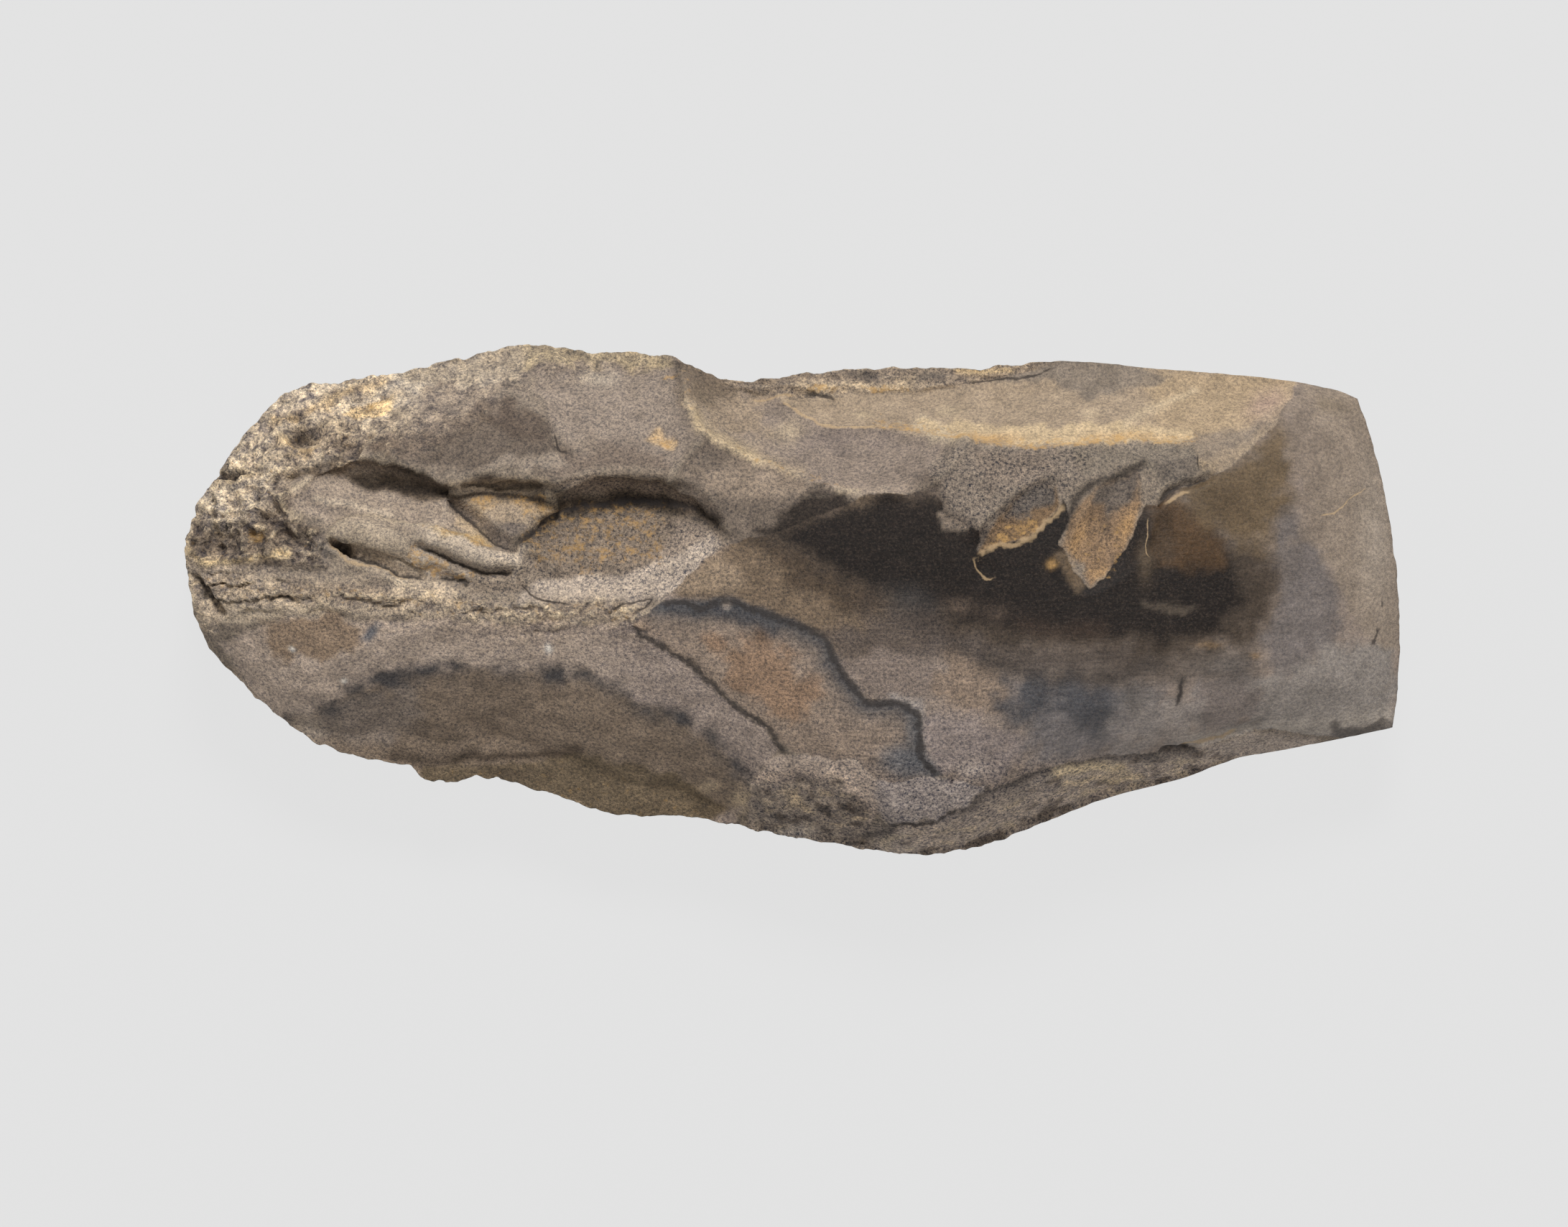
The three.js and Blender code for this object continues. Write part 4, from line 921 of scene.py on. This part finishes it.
# Thin dark lines, with half their width.
dark_line = lines_across([
    # The vein below the great scar's margin, and the blue vein across the ground face.
    (0.42, [(-18.7, -2.9), (-16, -5), (-12.5, -7), (-9.5, -9.7), (-6.5, -12.5), (-3, -15),
            (-1.5, -17), (-0.5, -17.6)]),
    (0.45, [(-15.5, -0.5), (-12.5, -0.4), (-10.5, -0.8), (-7.8, -0.2), (-4, -1.4), (0, -2.9),
            (2.5, -3.8), (3.6, -4.8), (4.5, -7), (6, -9), (7, -10.5), (8.5, -11.8), (12, -12),
            (13.8, -13), (14.4, -15), (14.5, -18), (15.5, -19.5), (16.5, -20.2)]),
    # Shadows under the lumps and at the feet of the steps.
    (0.45, [(-52.6, 6.6), (-51.6, 6.1), (-50.3, 5.2)]), (0.2, LUMP_SHADOW), (0.18, SECOND_SHADOW),
    (0.25, [(-41, 2.4), (-39, 2.1), (-37, 2)]), (0.16, SMALL_BASE), (0.35, DEEP_BASE[:-1]),
    # Cracks and dents of the butt half.
    (0.5, BUTT_CLEFT), (0.14, SEAM_CRACK), (0.12, FOOT_CRACK), (0.12, HOOKED_CRACK),
    (0.14, [(-27.6, 19.5), (-27, 17.3), (-25.8, 17)]),
    # Breaks of the crushed rim and of the lower flank.
    (0.2, [(1, 24), (3, 23.7), (5, 23.1)]), (0.16, [(20, 25.4), (23, 25.3), (27, 25.8), (30, 26.7)]),
    (0.2, [(42, -17.5), (46, -17.2)]), (0.25, [(10.5, -25.9), (15, -25.7), (19, -24.3)]),
    # Cracks and dents by the bit.
    (0.38, BIT_CRACK[:3]), (0.16, BIT_CRACK[2:]), (0.12, [(46.4, 14.6), (46.2, 17)]),
    (0.14, [(67.9, 0.2), (67.9, -1.2)]), (0.2, [(67.5, -2.8), (66.9, -4.2), (66.5, -5.5)]),
    (0.16, BIT_DENT)])

# Thin pale lines: lit lips of the chips, crests between scars, and threads of lime.
pale_line = lines_across([
    (0.3, [(20.8, 5.2), (22, 5.7), (23.5, 6.1), (25, 6.1), (26.5, 6.6), (27.5, 7.5), (28.5, 8.5),
           (30, 9.8), (31, 11)]),
    (0.2, [(42.4, 10.9), (44, 11.9), (45.5, 12.6)]), (0.14, SCAR_CREST[:4]),
    (0.14, [(-5, 23.3), (-3.5, 23), (0, 23.8)]),
    (0.14, [(44.5, -17.2), (46, -16.7), (49, -15.9), (51, -15.1)]),
    (0.2, [(-53.2, 6.6), (-51.3, 4.4), (-48, 3.6), (-44, 2.2)]),
    (0.14, [(-59, 18.2), (-57.3, 16.9), (-55, 16.8), (-54.5, 18)]),
    (0.12, [(20.3, 4.8), (20.7, 3.5), (22, 2.2), (23, 2.5)]),
    (0.06, [(40.4, 9.5), (40.4, 5.5), (41, 4.7)]),
    (0.08, [(60.5, 9.5), (62, 10), (63.5, 11.3), (66, 13)])])


RIM_SHARPNESS = 0.25
RIM_REACH = 6                   # nothing farther from the rim belongs to its wall


def past_rim(line, width_at):
    """On the right side of a rim, in the form that a thin line has: the distance past the rim, and
    the painted shade of the wall, 1 as far as the given width."""
    gap = -gap_to(smooth_line(line))
    width = line_through(width_at)(face_x)
    values = np.zeros((len(x), 3))
    values[face, 0] = 1.5 - gap / RIM_SHARPNESS
    # Painted shade, lighter by the rim and deeper towards the wall's foot.
    shade = 0.5 + 0.5 * fade(0.3, 0.95, gap / width)
    inside = fade(1.25, 0.85, gap / width) * fade(-1.5, -0.8, gap)
    values[face, 1] = shade * inside * (np.abs(gap) < RIM_REACH)
    return values


# Painted shade on the walls of the steps, up to their sharp rims.
painted_wall_shade = past_rim(STEP_RIM, [
    (-59, 0.3), (-56, 0.8), (-52, 1.8), (-50, 2.6), (-46, 3.1), (-43, 2.9), (-40, 1.7), (-38, 1.8),
    (-34, 2.4), (-29, 2.4), (-26, 3.8), (-20, 3.6), (-14, 2.8), (-11, 1), (-8.5, 0.3)])

# Ochre earth lies in the steps, under rims, in chips and pits, and thinly on all rough stone.
ochre = np.max(np.clip([
    0.5 * patch([(-30, 9.5), (-26, 11), (-18, 11.6), (-14, 10), (-15, 4), (-26, 3.4), (-33, 5)], 1, 2),
    0.55 * patch([(-38, 12), (-28, 12), (-28.5, 10.2), (-38, 10.2)], 0.8, 1),
    0.62 * patch([(-44, 6.2), (-41, 5.2), (-36, 2.8), (-37, 1.8), (-42, 2.6)], 0.6, 1),
    0.6 * patch([(-43, 8.2), (-36, 7.6), (-33.5, 5.6), (-40, 6.4)], 0.6, 0.8),
    0.65 * band([(10, 19.6), (20, 18), (27, 17.3), (35, 17.8), (45.5, 17.8)], 1.8, 0.3),
    0.4 * band(WIDE_SCAR_RIM[:6], 1.8, 0.3),
    0.4 * patch([(31, 6), (33, 10), (36, 9), (39, 8), (36.5, 2.5), (33.5, 1.5)], 0.8, 1),
    0.6 * patch([(21, 5.4), (27, 7), (30.5, 11), (28, 10), (24, 8.5)], 0.6, 0.6),
    0.3 * patch([(-43, -19.5), (-25, -18), (-8, -24), (-12, -30), (-44, -28)], 1),
    0.6 * spot((-48.5, 22.6), 3, 1.6, 15), 0.8 * spot((-62, 7.4), 1.6, 1.2),
    0.7 * spot((-15.2, 18.4), 1.6, 0.8, -20), 0.7 * spot((-14, 25.7), 1.2, 0.6),
    0.7 * spot((3, 24.4), 3, 0.8), 0.7 * spot((10, 24.5), 4, 0.7),
    0.4 * seam, 0.3 * skin, 0.35 * below * (1 - ground)], 0, 1), axis=0)

# How crumbly the stone is: the old skin, the seam, the crushed rim, the scallop and the flank.
rugged = np.max([
    skin, 0.8 * seam, 0.4 * crushed,
    0.5 * patch([(-5, -20), (0, -19.6), (5, -20), (9, -23), (9.5, -30), (-6, -30)], 1, 1),
    0.35 * patch([(10, -26), (22.5, -22.5), (46, -17.8), (60, -17), (60, -20), (20, -32)], 0.8, 1),
    0.25 * patch([(-13, -21), (-5, -19), (-5, -30), (-22, -30)], 1, 1)], axis=0)

# How grainy it is: least at the bit and in the long scar, most in the steps and by the heart.
grainy = np.full(len(x), 0.62)
for amount, cover in [
        (0.34, bit_end * ground), (0.42, patch(LONG_SCAR, 0.5)), (0.55, patch(WIDE_SCAR, 0.5)),
        (0.85, patch(DEEP_STEP, 0.5)),
        (0.9, patch([(15, 14), (17, 17), (34, 17), (32, 13), (20, 6)], 1)),
        (0.9, fade(-17, -20, y) * fade(-8, -3, x)), (0.75, rough), (0.6, below)]:
    grainy += (amount - grainy) * np.clip(cover, 0, 1)

for name, tone in [("broken_tone", scars), ("ground_tone", ground_tone)]:
    layer = axe_mesh.attributes.new(name, "FLOAT_COLOR", "POINT")
    layer.data.foreach_set("color", np.c_[tone, np.ones(len(x))].ravel())
for name, values in [("ground_gap", ground_gap), ("ochre", ochre), ("grainy", grainy),
                     ("rugged", rugged)]:
    axe_mesh.attributes.new(name, "FLOAT", "POINT").data.foreach_set("value", values)
for name, values in [("dark_line", dark_line), ("pale_line", pale_line), ("painted_wall_shade", painted_wall_shade)]:
    axe_mesh.attributes.new(name, "FLOAT_VECTOR", "POINT").data.foreach_set("vector", values.ravel())

axe = bpy.data.objects.new("stone_axe_head", axe_mesh)
bpy.context.collection.objects.link(axe)
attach(axe, "root")
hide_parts("axe_head")

# ---------------------------------------------------------------------------------------------
# The axe head: chert.
# Flaked and partly ground. Scars look salt-and-pepper from grains, tiny fossils and dust, and the
# ground faces are smooth with a dull sheen and fine scratches that run along the stone.
# ---------------------------------------------------------------------------------------------

chert = bpy.data.materials.new("chert")
chert.use_nodes = True
nodes, links = chert.node_tree.nodes, chert.node_tree.links
shader = nodes["Principled BSDF"]


def add(kind, inputs, **settings):
    """Adds a node; each input is a value or another node's output."""
    node = nodes.new(kind)
    for name, value in settings.items():
        setattr(node, name, value)
    for socket, value in inputs.items():
        if isinstance(value, bpy.types.NodeSocket):
            links.new(value, node.inputs[socket])
        else:
            node.inputs[socket].default_value = value
    return node


# Sockets of a colour mix: its share, and the colours it goes from and to.
SHARE, FROM, TO = 0, 6, 7
MIXED = 2

stone_places = add("ShaderNodeTexCoord", {}).outputs["Object"]
inside_ground = add("ShaderNodeAttribute", {}, attribute_name="ground_gap").outputs["Fac"]
ochre_in = add("ShaderNodeAttribute", {}, attribute_name="ochre").outputs["Fac"]

# The border between broken and ground stone, frayed by a quarter of a millimetre.
fray = add("ShaderNodeTexNoise", {"Vector": stone_places, "Scale": 1 / (0.7 * MM),
                                  "Detail": 3}).outputs["Fac"]
frayed = add("ShaderNodeMath", {0: fray, 1: 0.5, 2: inside_ground}, operation="MULTIPLY_ADD").outputs[0]
ground_in = add("ShaderNodeMapRange", {"Value": frayed, "From Min": 0.15,
                                       "From Max": 0.35}).outputs["Result"]
broken = add("ShaderNodeAttribute", {}, attribute_name="broken_tone").outputs["Color"]
smooth = add("ShaderNodeAttribute", {}, attribute_name="ground_tone").outputs["Color"]
tone = add("ShaderNodeMix", {SHARE: ground_in, FROM: broken, TO: smooth},
           data_type="RGBA").outputs[MIXED]

# Mottling 2 mm across that lightens and darkens the tone.
cloud = add("ShaderNodeTexNoise", {"Vector": stone_places, "Scale": 1 / (2.4 * MM), "Detail": 5,
                                   "Roughness": 0.65}).outputs["Fac"]
cloud_range = add("ShaderNodeMapRange", {"Value": cloud, "From Min": 0.3, "From Max": 0.7,
                                         "To Min": 0.78,
                                         "To Max": 1.2}).outputs["Result"]
mottled = add("ShaderNodeVectorMath", {0: tone, "Scale": cloud_range},
              operation="SCALE").outputs["Vector"]

# Blue-brown and warm dusty grains, from a third of a millimetre down to a twentieth.
grain_cover = add("ShaderNodeAttribute", {}, attribute_name="grainy").outputs["Fac"]
grain = add("ShaderNodeTexNoise", {"Vector": stone_places, "Scale": 1 / (0.34 * MM), "Detail": 3,
                                   "Roughness": 0.9}).outputs["Fac"]
grain_level = add("ShaderNodeMapRange", {"Value": grain, "From Min": 0.36,
                                         "From Max": 0.64}).outputs["Result"]
grain_tint = add("ShaderNodeMix", {SHARE: grain_level, FROM: (0.02, 0.06, 0.18, 1),
                                   TO: (1.98, 1.9, 1.76, 1)},
                 data_type="RGBA").outputs[MIXED]
grain_factor = add("ShaderNodeMix", {SHARE: grain_cover, FROM: (1, 1, 1, 1), TO: grain_tint},
                   data_type="RGBA").outputs[MIXED]
grained = add("ShaderNodeVectorMath", {0: mottled, 1: grain_factor},
              operation="MULTIPLY").outputs["Vector"]

# Crumbly stone is pale on its crests and purple-grey in its pits: partly its own colour, partly painted
# highlight and painted shade that follow the bump relief below.
rugged_in = add("ShaderNodeAttribute", {}, attribute_name="rugged").outputs["Fac"]
crumb = add("ShaderNodeTexNoise", {"Vector": stone_places, "Scale": 1 / (1.4 * MM), "Detail": 6,
                                   "Roughness": 0.65,
                                   "Distortion": 0.5}).outputs["Fac"]
crumb_level = add("ShaderNodeMapRange", {"Value": crumb, "From Min": 0.38,
                                         "From Max": 0.62}).outputs["Result"]
crumb_tint = add("ShaderNodeMix", {SHARE: crumb_level, FROM: (0.4, 0.4, 0.47, 1),
                                   TO: (1.72, 1.64, 1.48, 1)},
                 data_type="RGBA").outputs[MIXED]
crumb_factor = add("ShaderNodeMix", {SHARE: rugged_in, FROM: (1, 1, 1, 1), TO: crumb_tint},
                   data_type="RGBA").outputs[MIXED]
crumbly = add("ShaderNodeVectorMath", {0: grained, 1: crumb_factor},
              operation="MULTIPLY").outputs["Vector"]

# Buff dust in pin-prick specks, seen best where the stone is dark.
dust = add("ShaderNodeTexNoise", {"Vector": stone_places, "Scale": 1 / (0.3 * MM), "Detail": 3,
                                  "Roughness": 0.8}).outputs["Fac"]
dust_cover = add("ShaderNodeMapRange", {"Value": dust, "From Min": 0.48, "From Max": 0.8,
                                        "To Max": 0.3}).outputs["Result"]
salted = add("ShaderNodeMix", {SHARE: dust_cover, FROM: crumbly, TO: (*linear("#776658"), 1)},
             data_type="RGBA").outputs[MIXED]

# Scratches of the grinding, a third of a millimetre apart and long in the stone's own direction.
scratch_places = add("ShaderNodeMapping", {"Vector": stone_places,
                                           "Scale": (0.06, 1, 1)}).outputs["Vector"]
scratch = add("ShaderNodeTexNoise", {"Vector": scratch_places, "Scale": 1 / (0.33 * MM),
                                     "Detail": 2}).outputs["Fac"]
scratch_range = add("ShaderNodeMapRange", {"Value": scratch, "From Min": 0.3, "From Max": 0.7,
                                           "To Min": -0.13,
                                           "To Max": 0.13}).outputs["Result"]
scratch_share = add("ShaderNodeMath", {0: scratch_range, 1: ground_in, 2: 1.0},
                    operation="MULTIPLY_ADD").outputs[0]
scratched = add("ShaderNodeVectorMath", {0: salted, "Scale": scratch_share},
                operation="SCALE").outputs["Vector"]

# Ochre earth caught in specks and crumbs.
earth = add("ShaderNodeTexNoise", {"Vector": stone_places, "Scale": 1 / (0.9 * MM), "Detail": 5,
                                   "Roughness": 0.75}).outputs["Fac"]
earth_level = add("ShaderNodeMath", {0: ochre_in, 1: 0.5, 2: earth},
                  operation="MULTIPLY_ADD").outputs[0]
earth_cover = add("ShaderNodeMapRange", {"Value": earth_level, "From Min": 0.74, "From Max": 0.92,
                                         "To Max": 0.75}).outputs["Result"]
look = add("ShaderNodeMix", {SHARE: earth_cover, FROM: scratched, TO: (*linear("#bd965e"), 1)},
           data_type="RGBA").outputs[MIXED]

# Painted shade on the walls of the steps, then thin lines, dark and pale, all frayed by the noise of
# the border.
shaded = add("ShaderNodeVectorMath", {0: look, 1: (0.37, 0.34, 0.3)},
             operation="MULTIPLY").outputs["Vector"]
for line_name, form, line_colour, strength in [
        ("painted_wall_shade", "MULTIPLY", shaded, 0.9), ("dark_line", "ABSOLUTE", (*linear("#332e2c"), 1), 0.8),
        ("pale_line", "ABSOLUTE", (*linear("#c2a57e"), 1), 0.55)]:
    line_places = add("ShaderNodeAttribute", {}, attribute_name=line_name).outputs["Vector"]
    line_parts = add("ShaderNodeSeparateXYZ", {"Vector": line_places}).outputs
    line_off = add("ShaderNodeMath", {0: line_parts["X"], 1: 1.0}, operation=form).outputs[0]
    line_fray = add("ShaderNodeMath", {0: fray, 1: 3.0, 2: line_off},
                    operation="MULTIPLY_ADD").outputs[0]
    line_body = add("ShaderNodeMapRange", {"Value": line_fray, "From Min": 2.9, "From Max": 1.9,
                                           "To Max": strength}).outputs["Result"]
    line_share = add("ShaderNodeMath", {0: line_body, 1: line_parts["Y"]},
                     operation="MULTIPLY").outputs[0]
    look = add("ShaderNodeMix", {SHARE: line_share, FROM: look, TO: line_colour},
               data_type="RGBA").outputs[MIXED]
links.new(look, shader.inputs["Base Color"])

dullness = add("ShaderNodeMapRange", {"Value": ground_in, "To Min": 0.82,
                                      "To Max": 0.55}).outputs["Result"]
links.new(dullness, shader.inputs["Roughness"])
shader.inputs["Specular IOR Level"].default_value = 0.2

# Fine relief: crumbly crests half a millimetre apart on rugged stone, grains, and faint scratches.
crumb_height = add("ShaderNodeMath", {0: crumb, 1: rugged_in}, operation="MULTIPLY").outputs[0]
grain_height = add("ShaderNodeMath", {0: grain, 1: grain_cover}, operation="MULTIPLY").outputs[0]
grain_share = add("ShaderNodeMath", {0: grain_height, 1: 0.2, 2: crumb_height},
                  operation="MULTIPLY_ADD").outputs[0]
height = add("ShaderNodeMath", {0: scratch, 1: 0.03, 2: grain_share},
             operation="MULTIPLY_ADD").outputs[0]
bump = add("ShaderNodeBump", {"Height": height, "Strength": 1.0,
                              "Distance": 1.4 * MM}).outputs["Normal"]
links.new(bump, shader.inputs["Normal"])
axe_mesh.materials.append(chert)

# ---------------------------------------------------------------------------------------------
# Floor, light and camera.
# A pale board that glows a little, so that the stone's shadow on it stays faint. One broad lamp
# stands behind the upper long side and an even white room fills in. The camera looks straight down.
# ---------------------------------------------------------------------------------------------

scene = bpy.context.scene
scene.view_settings.view_transform = "Standard"

board = bmesh.new()
bmesh.ops.create_grid(board, x_segments=1, y_segments=1, size=3)
floor_mesh = bpy.data.meshes.new("floor")
board.to_mesh(floor_mesh)
board.free()
floor = bpy.data.objects.new("floor", floor_mesh)
bpy.context.collection.objects.link(floor)
pale = bpy.data.materials.new("pale_board")
pale.use_nodes = True
pale_shader = pale.node_tree.nodes["Principled BSDF"]
pale_shader.inputs["Base Color"].default_value = (0.03, 0.03, 0.03, 1)
pale_shader.inputs["Roughness"].default_value = 1
pale_shader.inputs["Specular IOR Level"].default_value = 0
pale_shader.inputs["Emission Color"].default_value = (1, 1, 1, 1)
pale_shader.inputs["Emission Strength"].default_value = 0.732
floor_mesh.materials.append(pale)

world = bpy.data.worlds.new("studio")
world.use_nodes = True
world.node_tree.nodes["Background"].inputs["Color"].default_value = (1, 1, 1, 1)
world.node_tree.nodes["Background"].inputs["Strength"].default_value = 0.41
scene.world = world

lamp = bpy.data.lights.new("key", "AREA")
lamp.shape = "DISK"
lamp.size = 0.9
lamp.energy = 88
key = bpy.data.objects.new("key", lamp)
key.location = (0.1, 1.9, 2.45)
key.rotation_euler = (-key.location).to_track_quat("-Z", "Y").to_euler()
bpy.context.collection.objects.link(key)

FRAME_WIDTH = 0.1807            # width of the view at the height of the rim
AIM = (-0.0011, -0.0016)        # what the camera stands over
camera_data = bpy.data.cameras.new("camera")
camera_data.lens = 300
camera_data.sensor_width = 36
camera_data.clip_end = 20
camera = bpy.data.objects.new("camera", camera_data)
distance = FRAME_WIDTH * camera_data.lens / camera_data.sensor_width
camera.location = (*AIM, distance + MID_HEIGHT * MM)
bpy.context.collection.objects.link(camera)
scene.camera = camera
